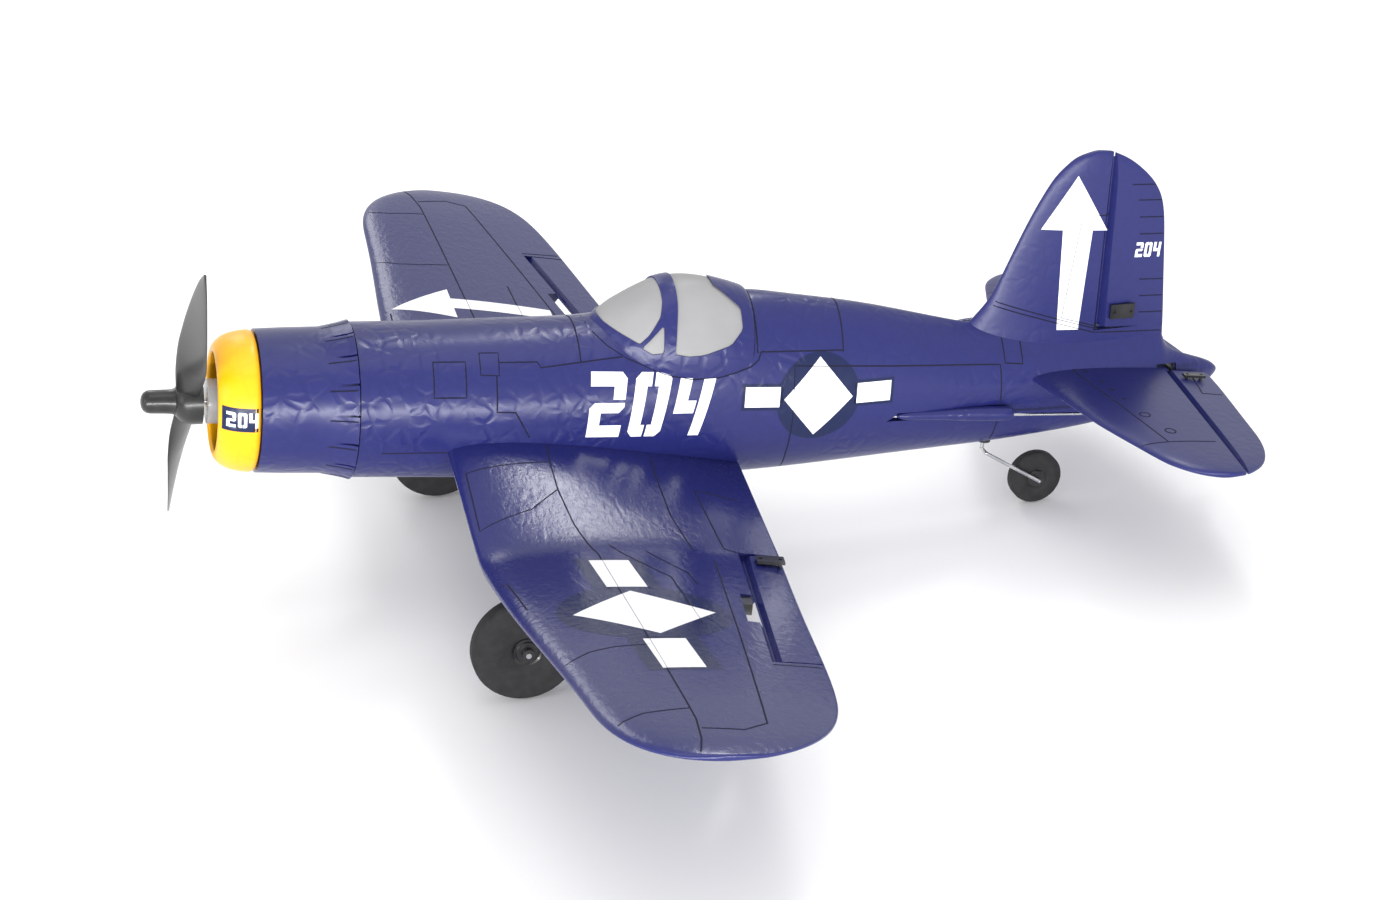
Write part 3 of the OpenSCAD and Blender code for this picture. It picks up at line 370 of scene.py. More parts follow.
# Moulded plastic, metal and other small parts: a fine grain in colour, sheen and relief.
def makePlain(name, tint, otherTint, grain, grainDepth, roughness, metallic=0.0, stretch=(1, 1, 1), clear=0.0,
              gloss=0.0):
    material = bpy.data.materials.new(name)
    material.use_nodes = True
    tree = material.node_tree
    nodes, links = tree.nodes, tree.links
    nodes.clear()

    grainFrame = nodes.new("NodeFrame")
    grainFrame.label = "grain"
    toneFrame = nodes.new("NodeFrame")
    toneFrame.label = "tone"

    where = nodes.new("ShaderNodeTexCoord")
    where.label = "place on the part"
    where.location = (-1000, 0)

    lay = nodes.new("ShaderNodeMapping")
    lay.label = "way of the grain"
    lay.location = (-800, 0)
    lay.inputs["Scale"].default_value = stretch
    links.new(where.outputs["Object"], lay.inputs["Vector"])

    fine = nodes.new("ShaderNodeTexNoise")
    fine.label = "fine grain"
    fine.location = (-600, -120)
    fine.inputs["Scale"].default_value = 1 / grain
    fine.inputs["Detail"].default_value = 4
    links.new(lay.outputs["Vector"], fine.inputs["Vector"])

    relief = nodes.new("ShaderNodeBump")
    relief.label = "grain relief"
    relief.location = (-300, -200)
    relief.inputs["Distance"].default_value = grainDepth
    links.new(fine.outputs["Fac"], relief.inputs["Height"])

    broad = nodes.new("ShaderNodeTexNoise")
    broad.label = "handling and scuffs"
    broad.location = (-600, 240)
    broad.inputs["Scale"].default_value = 0.16 / grain
    broad.inputs["Detail"].default_value = 6
    links.new(lay.outputs["Vector"], broad.inputs["Vector"])

    tone = nodes.new("ShaderNodeValToRGB")
    tone.label = "two tones of the stuff"
    tone.location = (-360, 300)
    tone.color_ramp.elements[0].position = 0.36
    tone.color_ramp.elements[0].color = (*tint, 1)
    tone.color_ramp.elements[1].position = 0.68
    tone.color_ramp.elements[1].color = (*otherTint, 1)
    links.new(broad.outputs["Fac"], tone.inputs["Fac"])

    sheen = nodes.new("ShaderNodeMapRange")
    sheen.label = "dull and bright patches"
    sheen.location = (-300, 60)
    sheen.inputs["To Min"].default_value = max(roughness - 0.08, 0.03)
    sheen.inputs["To Max"].default_value = min(roughness + 0.12, 1)
    links.new(broad.outputs["Fac"], sheen.inputs["Value"])

    stuff = nodes.new("ShaderNodeBsdfPrincipled")
    stuff.label = name
    stuff.location = (0, 100)
    stuff.inputs["Metallic"].default_value = metallic
    stuff.inputs["Specular IOR Level"].default_value = 0.4
    stuff.inputs["Transmission Weight"].default_value = clear
    stuff.inputs["Coat Weight"].default_value = gloss
    stuff.inputs["Coat Roughness"].default_value = 0.15
    links.new(tone.outputs["Color"], stuff.inputs["Base Color"])
    links.new(sheen.outputs["Result"], stuff.inputs["Roughness"])
    links.new(relief.outputs["Normal"], stuff.inputs["Normal"])

    out = nodes.new("ShaderNodeOutputMaterial")
    out.label = "surface"
    out.location = (300, 100)
    links.new(stuff.outputs["BSDF"], out.inputs["Surface"])
    for node in (lay, fine, relief):
        node.parent = grainFrame
    for node in (broad, tone, sheen):
        node.parent = toneFrame
    return material


# tint of each paint, and its shadow tint: painted shade in the cracks between beads, with a little of it also mixed in
# at random for an uneven coat
paints = {
    "navy": ((0.013, 0.016, 0.108), (0.006, 0.007, 0.06)),
    "navyDisc": ((0.001, 0.007, 0.052), (0.001, 0.004, 0.03)),
    "white": ((0.86, 0.86, 0.88), (0.6, 0.6, 0.68)),
    "yellow": ((0.90, 0.44, 0.003), (0.80, 0.27, 0.0)),
}
# bead size and depth, crease length and depth, roughness, gloss
bodySkinLook = (0.0052, 0.00011, 0.004, 0.00001, 0.31, 0.12)
wingSkinLook = (0.0036, 0.00002, 0.0020, 0.00012, 0.22, 0.22)
bodyFoam = makeFoam("bodyFoam", *paints["navy"], *bodySkinLook)
wingFoam = makeFoam("wingFoam", *paints["navy"], *wingSkinLook)
tailFoam = makeFoam("tailFoam", *paints["navy"], 0.0045, 0.00003, 0.003, 0.00004, 0.40, 0.10)
discOnBody = makeFoam("discOnBody", *paints["navyDisc"], *bodySkinLook)
discOnWing = makeFoam("discOnWing", *paints["navyDisc"], *wingSkinLook)
whiteOnBody = makeFoam("whiteOnBody", *paints["white"], 0.0052, 0.00003, 0.004, 0.00001, 0.5, 0.1)
whiteOnWing = makeFoam("whiteOnWing", *paints["white"], 0.0036, 0.00002, 0.0020, 0.00005, 0.5, 0.1)
ringPaint = makeFoam("ringPaint", *paints["yellow"], 0.006, 0.00003, 0.005, 0.00002, 0.36, 0.15)
lineShade = makePlain("lineShade", (0.003, 0.003, 0.018), (0.005, 0.005, 0.03), 0.002, 0.00002, 0.9)
glazingGrey = makePlain("glazingGrey", (0.23, 0.23, 0.235), (0.27, 0.27, 0.275), 0.004, 0.00002, 0.5, gloss=0.02)
satinBlack = makePlain("satinBlack", (0.006, 0.006, 0.007), (0.014, 0.014, 0.015), 0.0006, 0.00001, 0.32, gloss=0.3)
bladeBlack = makePlain("bladeBlack", (0.008, 0.008, 0.009), (0.02, 0.02, 0.021), 0.0012, 0.00001, 0.3, gloss=0.15)
tyreFoam = makePlain("tyreFoam", (0.008, 0.008, 0.009), (0.017, 0.017, 0.018), 0.00045, 0.00012, 0.82)
steelWire = makePlain("steelWire", (0.62, 0.63, 0.65), (0.45, 0.46, 0.48), 0.0006, 0.00001, 0.25, 1.0, (1, 1, 0.15))
servoBlack = makePlain("servoBlack", (0.010, 0.010, 0.012), (0.022, 0.022, 0.024), 0.0005, 0.00002, 0.5)
carbonRod = makePlain("carbonRod", (0.010, 0.010, 0.011), (0.035, 0.035, 0.037), 0.0004, 0.00001, 0.3, 0.1, (1, 0.1, 1))
whiteNylon = makePlain("whiteNylon", (0.78, 0.78, 0.74), (0.68, 0.68, 0.63), 0.0008, 0.00001, 0.4)
lightPly = makePlain("lightPly", (0.58, 0.40, 0.22), (0.42, 0.26, 0.13), 0.0008, 0.00004, 0.62, 0, (1, 0.12, 1))
boardGreen = makePlain("boardGreen", (0.015, 0.16, 0.06), (0.03, 0.26, 0.10), 0.0007, 0.00004, 0.35)
packWrap = makePlain("packWrap", (0.02, 0.10, 0.34), (0.03, 0.14, 0.42), 0.002, 0.00005, 0.22, gloss=0.5)
smokyPlastic = makePlain("smokyPlastic", (0.50, 0.50, 0.51), (0.42, 0.42, 0.43), 0.001, 0.00001, 0.18, clear=0.45)
brassGear = makePlain("brassGear", (0.80, 0.55, 0.20), (0.64, 0.41, 0.13), 0.0004, 0.00001, 0.28, 1.0)

# the parts that keep their own shape
carriedParts = {
    satinBlack: ["aileron_horn_port", "aileron_horn_starboard", "elevator_horn", "rudder_horn", "hinge_blocks",
                 "gear_sockets", "axle_collars", "tail_socket"],
    smokyPlastic: ["gearbox_frame"],
    servoBlack: ["aileron_servos", "elevator_servo", "rudder_servo", "motor"],
    whiteNylon: ["aileron_arm_port", "aileron_arm_starboard", "elevator_arm", "rudder_arm", "spur_gear"],
    steelWire: ["aileron_rod_port", "aileron_rod_starboard", "elevator_rod", "rudder_rod", "prop_shaft",
                "gear_leg_port", "gear_leg_starboard", "tail_leg", "hatch_magnets", "gearbox_screws"],
    carbonRod: ["wing_spars", "elevator_joiner"],
    lightPly: ["servo_tray", "bulkhead"],
    boardGreen: ["receiver_board"],
    packWrap: ["battery"],
    brassGear: ["pinion", "shaft_bushes"],
}
for material, names in carriedParts.items():
    for part in names:
        mesh = cadNodes[part].data
        mesh.materials.clear()
        mesh.materials.append(material)
print("materials are on the carried parts")

# Fuselage, its bay and the battery hatch: (station, value) lines.
fuselage = {
    "half": [(27.4, 22.8), (47, 23), (70, 23), (90, 22.6), (110, 22), (130, 21), (150, 19.6), (170, 17.8),
             (190, 15.8), (210, 13.7), (230, 11.4), (250, 9.2), (270, 7.2), (290, 5.2), (301, 3.8), (305, 2.4),
             (307, 0.6)],
    "top": [(27.4, 22.8), (47, 23), (70, 24), (90, 24.6), (98, 25.2), (145, 34.4), (156, 33), (178.7, 30.6),
            (195, 27.8), (212, 24.4), (222, 23), (284, 21.5), (286, 18.5), (288, 14.5), (296, 11.8), (303, 10.4),
            (305.5, 9), (307, 7.6)],
    "low": [(27.4, -22.8), (47, -23.2), (70, -24), (90, -24.6), (130, -24.8), (151, -24), (170, -22.4),
            (202, -19.2), (231, -16.6), (253, -13.6), (268, -10.8), (285, -5.5), (300, 0), (305, 3.4), (307, 6.4)],
    "middle": [(27.4, 0), (110, 0), (150, 1), (200, 3), (250, 6), (300, 7), (307, 7)],
    "ridge": [(27.4, 1), (145, 1.05), (200, 1.2), (225, 1.9), (240, 2.6), (284, 2.6), (290, 1.3), (307, 1)],
    "stations": [27.4, 28, 38, 50, 62, 74, 86, 98, 110, 122, 134, 145, 156, 168, 180, 192, 204, 214, 222, 232,
                 244, 256, 268, 278, 284, 286, 288, 294, 300, 304, 306, 307],
    "bayStations": [20, 27.4, 45, 65, 85, 98, 115, 130, 145, 160, 180, 200, 216],
    "wall": 3.0, "joinerSlot": (283, 290.4, 5.25, 10.75), "rodSlot": (166, 222, -3.2, -0.4),
}


def bodyRing(x, wall=0.0, count=36):
    wide = lookUp(fuselage["half"], x) - wall
    top = lookUp(fuselage["top"], x) - wall
    low = lookUp(fuselage["low"], x) + wall
    middle = lookUp(fuselage["middle"], x)
    ridge = lookUp(fuselage["ridge"], x)
    ring = []
    for i in range(count):
        c, s = math.cos(2 * math.pi * i / count), math.sin(2 * math.pi * i / count)
        if s > 0:
            ring.append((x, wide * math.copysign(abs(c) ** ridge, c), middle + (top - middle) * s))
        else:
            ring.append((x, wide * c, middle + (middle - low) * s))
    return ring


bodySkin = smoothOut(loft("fuselageSkin", [bodyRing(x) for x in fuselage["stations"]], creaseFirst=True))
bodyTree = treeOf(bodySkin)
hatchHole = {"sides": (32, 88, -30, -15.6), "half": 13.5, "gap": 0.2, "wallMore": 0.8}
hatchSkin = copyOf(bodySkin, "hatchSkin")

bay = smoothOut(loft("bay", [bodyRing(x, fuselage["wall"], 20) for x in fuselage["bayStations"]], True), 1)
hatchInside = copyOf(bay, "hatchInside")
cutWith(bodySkin, bay)
x0, x1, z0, z1 = hatchHole["sides"]
gap, half = hatchHole["gap"], hatchHole["half"] + hatchHole["gap"]
cutWith(bodySkin, makeBlock(boxOutline(x0 - gap, x1 + gap, z0, z1 + gap), -half, half))
for slot, near, far in (("joinerSlot", -20, 20), ("rodSlot", -15.2, -12.2)):
    cutWith(bodySkin, makeBlock(boxOutline(*fuselage[slot]), near, far))
finishPiece(bodySkin, "airframe", bodyFoam, ["fuselage"], 40)

cutWith(hatchSkin, makeBlock(boxOutline(*hatchHole["sides"]), -hatchHole["half"], hatchHole["half"]), "INTERSECT")
hatchInside.data.transform(Matrix.Translation((0, 0, hatchHole["wallMore"])))
cutWith(hatchSkin, hatchInside)
finishPiece(hatchSkin, "battery_hatch", bodyFoam, ["battery_hatch"], 40)
print("fuselage and hatch are made")

# Cowl with its flap slits, and the nose ring: (radius, station) outlines.
cowl = {
    "profile": [(17.6, 24), (20.4, 27), (23.3, 27), (22.7, 25.2), (22.2, 23), (21.6, 20.2), (21.3, 18.5), (21.2, 14),
                (21.1, 8), (20.8, 0), (17.6, 0), (17.6, 24)],
    "flaps": 16, "slitWide": 0.7, "slit": (19.0, 29, 21.75, 26), "line": (18.9, 26.6), "beside": 4.2, "reach": 40,
}
noseRing = {"profile": [(17.6, -0.1), (20.8, -0.1), (20.5, -3.6), (19.9, -6.8), (18.9, -9.2), (17.4, -11),
                        (15.9, -11.9), (14.8, -12), (14.2, -11.4), (14.4, -10.6), (16.4, -7.5), (17.6, -4),
                        (17.6, -0.1)]}
alongShaft = Matrix(((0, 0, 1, 0), (0, 1, 0, 0), (-1, 0, 0, 0), (0, 0, 0, 1)))
cowlPiece = turned("cowlRing", cowl["profile"], 128, alongShaft)
cowlTree = treeOf(cowlPiece)
for i in range(cowl["flaps"]):
    about = Matrix.Rotation(2 * math.pi * (i + 0.5) / cowl["flaps"], 4, "X")
    half = cowl["slitWide"] / 2
    cutWith(cowlPiece, makeBlock(boxOutline(*cowl["slit"]), -half, half, about))
finishPiece(cowlPiece, "airframe", bodyFoam, ["cowl"], 30)


ringPiece = turned("noseRing", noseRing["profile"], 128, alongShaft)
smoothOut(ringPiece, 1)
ringTree = treeOf(ringPiece)
finishPiece(ringPiece, "airframe", ringPaint, ["nose_ring"], 0)
print("cowl and nose ring are made")

# Canopy moulding with open panes over a glazing bubble.
canopy = {
    "half": [(97.5, 1.5), (100, 7.8), (105, 14.4), (112, 17.8), (121, 19), (131, 19), (140, 18.2), (146, 16.4)],
    "low": [(97.5, 23.5), (100, 22.5), (105, 19), (112, 15.5), (121, 12.8), (131, 12.8), (140, 14), (146, 17)],
    "top": [(97.5, 25.8), (100, 27.3), (105, 30.8), (112, 35.2), (117, 37.8), (121, 38.9), (126, 39.1), (131, 38.7),
            (140, 36.4), (146, 34.4)],
    "stations": [97.5, 100, 102.5, 105, 108, 111, 114, 117, 120, 123, 126, 129, 132, 135, 138, 141, 143.5, 146],
    "glassBelow": 0.55, "frameThick": 1.6, "ends": (97.5, 146), "cornerCut": 0.1,
    "panes": [
        [(99.8, 26.4), (106.1, 24.2), (109.4, 22.8), (112.2, 25.5), (115.6, 30.2), (116.8, 34.2), (116.6, 50),
         (100, 50), (98, 30)],
        [(109.9, 21.8), (116.5, 28.6), (116.4, 20.8), (113, 20.3)],
        [(119.7, 20.6), (120.3, 28.7), (121, 34.4), (121.8, 50), (133, 50), (133, 37.6), (135.7, 36), (140.8, 32.2),
         (140.9, 27), (137.1, 22.9), (128.7, 20.3), (124.1, 19.9)],
    ],
}


def canopyRing(x, inset, count=24):
    wide = lookUp(canopy["half"], x) - inset
    top = lookUp(canopy["top"], x) - inset
    low = lookUp(canopy["low"], x)
    angles = [math.pi * i / count for i in range(count + 1)]
    arch = [(x, wide * math.cos(a), low + (top - low) * math.sin(a)) for a in angles]
    return arch + [(x, -wide * 0.98, low - 3), (x, wide * 0.98, low - 3)]


def roundCorners(outline, share):
    return [(a[0] + (b[0] - a[0]) * t, a[1] + (b[1] - a[1]) * t)
            for a, b in zip(outline, outline[1:] + outline[:1]) for t in (share, 1 - share)]


def canopyShell(name, inset):
    front, back = canopy["ends"]
    stations = [min(max(x, front + inset), back - inset) for x in canopy["stations"]]
    return smoothOut(loft(name, [canopyRing(x, inset) for x in stations]))


glass = canopyShell("glazingBubble", canopy["glassBelow"])
canopyFrame = canopyShell("canopyFrame", 0.0)
cutWith(canopyFrame, canopyShell("inside", canopy["frameThick"]))
for pane in canopy["panes"]:
    cutWith(canopyFrame, makeBlock(roundCorners(pane, canopy["cornerCut"]), -30, 30))
finishPiece(canopyFrame, "airframe", bodyFoam, ["canopy"], 35)
finishPiece(glass, "airframe", glazingGrey, ["glazing"], 0)
print("canopy is made")

# Wing and tail surfaces: (distance along the surface, value) lines.
outerSlope = 0.13
crankZ = -21.7
tipRise = crankZ + outerSlope * 126
wing = {
    "nose": [(0, 52.6), (22, 53), (66, 54.2), (81, 54.2), (103, 54.9), (120, 56.2), (139, 58), (156, 59.1), (177, 60),
             (185, 62.5), (191, 65.6), (196, 70.5), (199, 77), (200, 84)],
    "tail": [(0, 145), (20, 144), (67, 141.8), (108, 134), (148, 127.2), (170, 123), (180, 119.6), (188, 114.6),
             (194, 108.4), (198, 101), (200, 93)],
    "noseZ": [(0, -6.6), (16, -6.6), (22, -8.4), (60, -20.2), (67, -22), (74, -21.7), (200, tipRise)],
    "tailZ": [(0, -16.4), (16, -16.4), (60, -21.6), (67, -22.2), (74, -21.7), (200, tipRise)],
    "thick": [(0, 9.6), (22, 9.6), (67, 8.6), (120, 7), (177, 5.2), (194, 3.4), (200, 1.4)],
    "stations": [0, 10, 16, 22, 34, 48, 60, 67, 74, 90, 110, 130, 148, 162, 174, 182, 188, 193, 197, 199, 200],
    "share": 0.62, "points": 14, "edge": 0.8,
}
tailplane = {
    "nose": [(0, 236.5), (14, 239.4), (28, 242.2), (44, 245.5), (62, 251.4), (72, 255), (78, 259.6), (81, 265),
             (82, 270)],
    "tail": [(0, 300.6), (8, 300.4), (20, 299), (58, 293.2), (69, 290), (77, 284), (81, 277.6), (82, 273)],
    "noseZ": [(0, 8), (82, 8)], "tailZ": [(0, 8), (82, 8)],
    "thick": [(0, 5), (40, 4.4), (72, 3.4), (80, 2.4), (82, 1.4)],
    "stations": [0, 10, 20, 28, 36, 44, 52, 58, 66, 72, 76, 79, 81, 82],
    "share": 0.5, "points": 12, "edge": 0.8,
}
finShape = {
    "nose": [(8, 209), (16, 214), (21, 217), (24.8, 219.6), (31, 224.6), (50, 230.8), (62, 235.2), (72, 240.2),
             (77.4, 246), (79.4, 252)],
    "tail": [(8, 287), (16, 286), (23, 285.1), (54, 279.8), (63, 278.1), (68, 275.4), (73, 270.6), (77.4, 263),
             (79.4, 257)],
    "noseZ": [(8, 0), (80, 0)], "tailZ": [(8, 0), (80, 0)],
    "thick": [(8, 10.4), (16, 8.4), (24, 6.4), (40, 5.2), (70, 4), (77.4, 2.6), (79.4, 1.4)],
    "stations": [8, 12, 16, 21, 25, 31, 40, 50, 60, 66, 71, 75, 77.4, 79, 79.4],
    "share": 0.5, "points": 12, "edge": 0.8,
}


# The usual four-figure thickness curve, as a share of the thickness.
def foilHeight(u):
    return 10 * (0.2969 * math.sqrt(u) - 0.126 * u - 0.3516 * u ** 2 + 0.2843 * u ** 3 - 0.1015 * u ** 4)


def foilRing(shape, s):
    front, back = lookUp(shape["nose"], s), lookUp(shape["tail"], s)
    frontZ, backZ = lookUp(shape["noseZ"], s), lookUp(shape["tailZ"], s)
    thick, share, count = lookUp(shape["thick"], s), shape["share"], shape["points"]
    ring = []
    for i, part in [(i, share - 1) for i in range(1, count + 1)] + [(i, share) for i in range(count, -1, -1)]:
        u = (1 - math.cos(math.pi * i / count)) / 2
        height = thick * foilHeight(u) + shape["edge"] * u
        ring.append((front + (back - front) * u, frontZ + (backZ - frontZ) * u + part * height))
    return ring


def foilSkin(name, shape, bothSides=True):
    stations = [-s for s in shape["stations"][:0:-1]] + shape["stations"] if bothSides else shape["stations"]
    rings = [[(x, s, z) for x, z in foilRing(shape, abs(s))] for s in stations]
    if not bothSides:
        rings = [[(x, z, s) for x, s, z in ring] for ring in rings]
    return smoothOut(loft(name, rings))


# The hinge groove: apex and slope of the moving side, and of the cut in the fixed side.
hinge = {"bevel": 35, "rise": 12, "movingApex": 0.25, "fixedApex": -0.1, "back": 60, "past": 30}


def hingeSide(apex, way):
    foot = apex + way * hinge["rise"] * math.tan(math.radians(hinge["bevel"]))
    return [(apex, 0), (foot, hinge["rise"]), (hinge["back"], hinge["rise"]), (hinge["back"], -hinge["rise"]),
            (foot, -hinge["rise"])]


behindHinge = hingeSide(hinge["movingApex"], 1)
hingeCut = hingeSide(hinge["fixedApex"], -1)

# hole and pocket: where the servo arm stands through the wing and where its horn swings
aileron = {
    "inner": (130.3, -68.5), "outer": (114.2, -147.6), "z": crankZ + outerSlope * (68.5 - 74) + 0.2, "gap": 0.3,
    "notchGaps": (-1.2, -0.3), "hole": ((-4.6, 0, -10, 10), -53, -32), "pocket": ((-30, -12.4, -20, 2.4), -20, -1),
}
sweep = math.atan2(aileron["inner"][0] - aileron["outer"][0], aileron["inner"][1] - aileron["outer"][1])
rise = math.atan(outerSlope * math.cos(sweep))
span = aileron["inner"][1] - aileron["outer"][1]
hingeLong = math.hypot(aileron["inner"][0] - aileron["outer"][0], span, outerSlope * span)
mirrored = Matrix.Scale(-1, 4, (0, 1, 0))


def aileronLocal(side):
    local = (Matrix.Translation((*aileron["inner"], aileron["z"])) @ Matrix.Rotation(-sweep, 4, "Z")
             @ Matrix.Rotation(-rise, 4, "X"))
    return local if side == "port" else mirrored @ local


def aileronRegion(side, inGap, outGap):
    local = aileronLocal(side) @ Matrix.Rotation(sweep, 4, "Z")
    return makeBlock(boxOutline(-60, 90, -30, 30), -span + outGap, -inGap, local)


wingSkin = foilSkin("wingSkin", wing)
wingTree = treeOf(wingSkin)
surfaces = {side: copyOf(wingSkin, "aileronSkin." + side) for side in ("port", "starboard")}
for side, piece in surfaces.items():
    local = aileronLocal(side)
    notch = aileronRegion(side, *aileron["notchGaps"])
    cutWith(notch, makeBlock(hingeCut, -hingeLong - hinge["past"], hinge["past"], local), "INTERSECT")
    cutWith(wingSkin, notch)
    for sides, near, far in (aileron["hole"], aileron["pocket"]):
        cutWith(wingSkin, makeBlock(boxOutline(*sides), near, far, local))
    cutWith(piece, makeBlock(behindHinge, -hingeLong - hinge["past"], hinge["past"], local), "INTERSECT")
    cutWith(piece, aileronRegion(side, aileron["gap"], aileron["gap"]), "INTERSECT")
    finishPiece(piece, side + "_aileron", wingFoam, ["aileron_" + side], 25)
finishPiece(wingSkin, "airframe", wingFoam, ["wing"], 25)
print("wing and ailerons are made")

# surface and notch say how far the two hinge cuts reach along the span
elevator = {"inner": (286.7, -5), "outer": (277.5, -78), "z": 8, "root": 7, "surface": (-97, 23), "notch": (-109, -2),
            "kept": (250, 320, -10, 30), "tailGap": (286.6, 330, -10, 30)}
tailSweep = math.atan2(elevator["inner"][0] - elevator["outer"][0], elevator["inner"][1] - elevator["outer"][1])
elevatorLocal = Matrix.Translation((*elevator["inner"], elevator["z"])) @ Matrix.Rotation(-tailSweep, 4, "Z")
tailSkin = foilSkin("tailplaneSkin", tailplane)
tailTree = treeOf(tailSkin)
elevatorHalves = (("port", elevatorLocal, "elevator"), ("starboard", mirrored @ elevatorLocal, "starboard_elevator"))
for side, local, body in elevatorHalves:
    piece = copyOf(tailSkin, "elevatorSkin." + side)
    cutWith(piece, makeBlock(behindHinge, *elevator["surface"], local), "INTERSECT")
    near, far = (-100, -elevator["root"]) if side == "port" else (elevator["root"], 100)
    cutWith(piece, makeBlock(boxOutline(*elevator["kept"]), near, far), "INTERSECT")
    finishPiece(piece, body, tailFoam, ["elevator_" + side], 25)
    cutWith(tailSkin, makeBlock(hingeCut, *elevator["notch"], local))
cutWith(tailSkin, makeBlock(boxOutline(*elevator["tailGap"]), -12, 12))
finishPiece(tailSkin, "airframe", tailFoam, ["stabilizer"], 25)

# cutFrom is the lower end of the hinge cut in the fin, along the hinge
rudder = {"low": (262.2, 20.9), "high": (258.1, 78.6), "foot": 22.5, "middle": 25, "cutFrom": -24.4}
lean = math.atan2(rudder["low"][0] - rudder["high"][0], rudder["high"][1] - rudder["low"][1])
rudderLocal = (Matrix.Translation((rudder["low"][0], 0, rudder["low"][1])) @ Matrix.Rotation(-lean, 4, "Y")
               @ Matrix.Translation((0, 0, rudder["middle"])) @ Matrix.Rotation(math.pi / 2, 4, "X"))
finSkin = foilSkin("finSkin", finShape, False)
finTree = treeOf(finSkin)
rudderSkin = copyOf(finSkin, "rudderSkin")
cutWith(rudderSkin, makeBlock(behindHinge, -100, 100, rudderLocal), "INTERSECT")
cutWith(rudderSkin, makeBlock(boxOutline(240, 320, rudder["foot"], 100), -20, 20), "INTERSECT")
finishPiece(rudderSkin, "rudder", tailFoam, ["rudder"], 25)
cutWith(finSkin, makeBlock(hingeCut, rudder["cutFrom"], 100, rudderLocal))
finishPiece(finSkin, "airframe", tailFoam, ["fin"], 25)
print("tail is made")

# A thin skin of foam joins each surface to its wing or tail along the hinge.
hingeSkins = {"radius": 0.27, "sides": 10, "elevator": (-4.0, -73.4), "rudder": ((262.1, 0, 22.6), (258.15, 0, 77.6))}


def makeHingeSkin(ends):
    start, finish = Vector(ends[0]), Vector(ends[1])
    turn = (finish - start).to_track_quat("Z", "Y").to_matrix()
    radius, angles = hingeSkins["radius"], [2 * math.pi * i / hingeSkins["sides"] for i in range(hingeSkins["sides"])]
    return loft("hingeSkin", [[at + turn @ Vector((radius * math.cos(a), radius * math.sin(a), 0)) for a in angles]
                              for at in (start, finish)])


aileronEnds = [aileronLocal("port") @ Vector((0, y, 0)) for y in (0.6, -hingeLong)]
elevatorEnds = [elevatorLocal @ Vector((0, y, 0)) for y in hingeSkins["elevator"]]
skins = [makeHingeSkin(hingeSkins["rudder"])]
for pair in (aileronEnds, elevatorEnds):
    for side in (Matrix.Identity(4), mirrored):
        skins.append(makeHingeSkin([side @ end for end in pair]))
finishPiece(joinInto(skins[0], skins[1:]), "airframe", tailFoam)

# Blisters cover the points where the pushrods leave the skin: (along, sideways, radius).
blisters = {
    "elevator": [(193.4, -14.2, 0.2), (194.4, -14.2, 0.9), (196.4, -14.1, 1.5), (206, -13.7, 1.6), (211, -13.5, 1.85),
                 (217, -13.4, 2.2), (224, -13.3, 2.4), (231, -13.4, 2.3), (232.4, -13.4, 1.9)],
    "rudder": [(-57, -1.2, 0.2), (-55, -1, 0.8), (-51.5, -0.7, 1.4), (-47, -0.5, 1.8), (-42, -0.4, 2.0),
               (-38, -0.3, 1.9), (-36.6, -0.3, 1.5)],
    "rodHigh": -1.8, "rodSlope": 0.19, "rudderHorn": (261.73, 10, 27.5), "rodSide": 1.3,
}
rodLocal = Matrix.Translation(blisters["rudderHorn"]) @ Matrix.Rotation(-math.atan(blisters["rodSlope"]), 4, "Y")


def blister(name, stations, z, local, count=16):
    rings = []
    for x, y, r in stations:
        angles = [2 * math.pi * i / count for i in range(count)]
        rings.append([local @ Vector((x, y + r * math.cos(a), z + r * math.sin(a))) for a in angles])
    return smoothOut(loft(name, rings))


elevatorBlister = blister("rodBlisters", blisters["elevator"], blisters["rodHigh"], Matrix.Identity(4))
rudderBlister = blister("rodBlister", blisters["rudder"], -blisters["rodSide"], rodLocal)
finishPiece(joinInto(elevatorBlister, [rudderBlister]), "airframe", bodyFoam, ["rod_fairings"], 0)

# Propeller, spinner and wheels.
propeller = {
    "plane": -19.4, "turn": 35.6, "stations": [3, 6, 9, 14, 19, 24, 30, 36, 43, 50, 56, 60, 63, 64.6, 65],
    "chord": [(4, 7), (12, 9.4), (24, 13), (36, 13), (46, 11.2), (55, 8), (61, 4.6), (65, 0.8)],
    "thick": [(4, 3), (14, 1.8), (40, 1.2), (65, 0.7)], "pitch": 16.5,
    "hub": [(0.9, 4.6), (6.6, 4.6), (6.7, 1.5), (6.6, 0), (5.6, -1.6), (4.4, -2.7), (3.9, -3), (0.9, -3), (0.9, 4.6)],
}
spinner = {"profile": [(0.95, -22.4), (3.9, -22.4), (3.6, -23.4), (3.5, -24.6), (3.45, -27), (3.4, -29.4), (3.2, -30.4),
                       (2.6, -31.3), (1.7, -31.85), (0.8, -32.05), (0, -32.1), (0, -26.2), (0.95, -26.2),
                       (0.95, -22.4)]}


def bladeRing(r, count=16):
    chord, thick = lookUp(propeller["chord"], r), lookUp(propeller["thick"], r)
    angle = math.atan(propeller["pitch"] / max(r, 12))
    ring = []
    for i in range(count):
        a = 2 * math.pi * i / count
        c, t = chord / 2 * math.cos(a), thick / 2 * math.sin(a)
        ring.append((-c * math.sin(angle) + t * math.cos(angle), c * math.cos(angle) + t * math.sin(angle), r))
    return ring


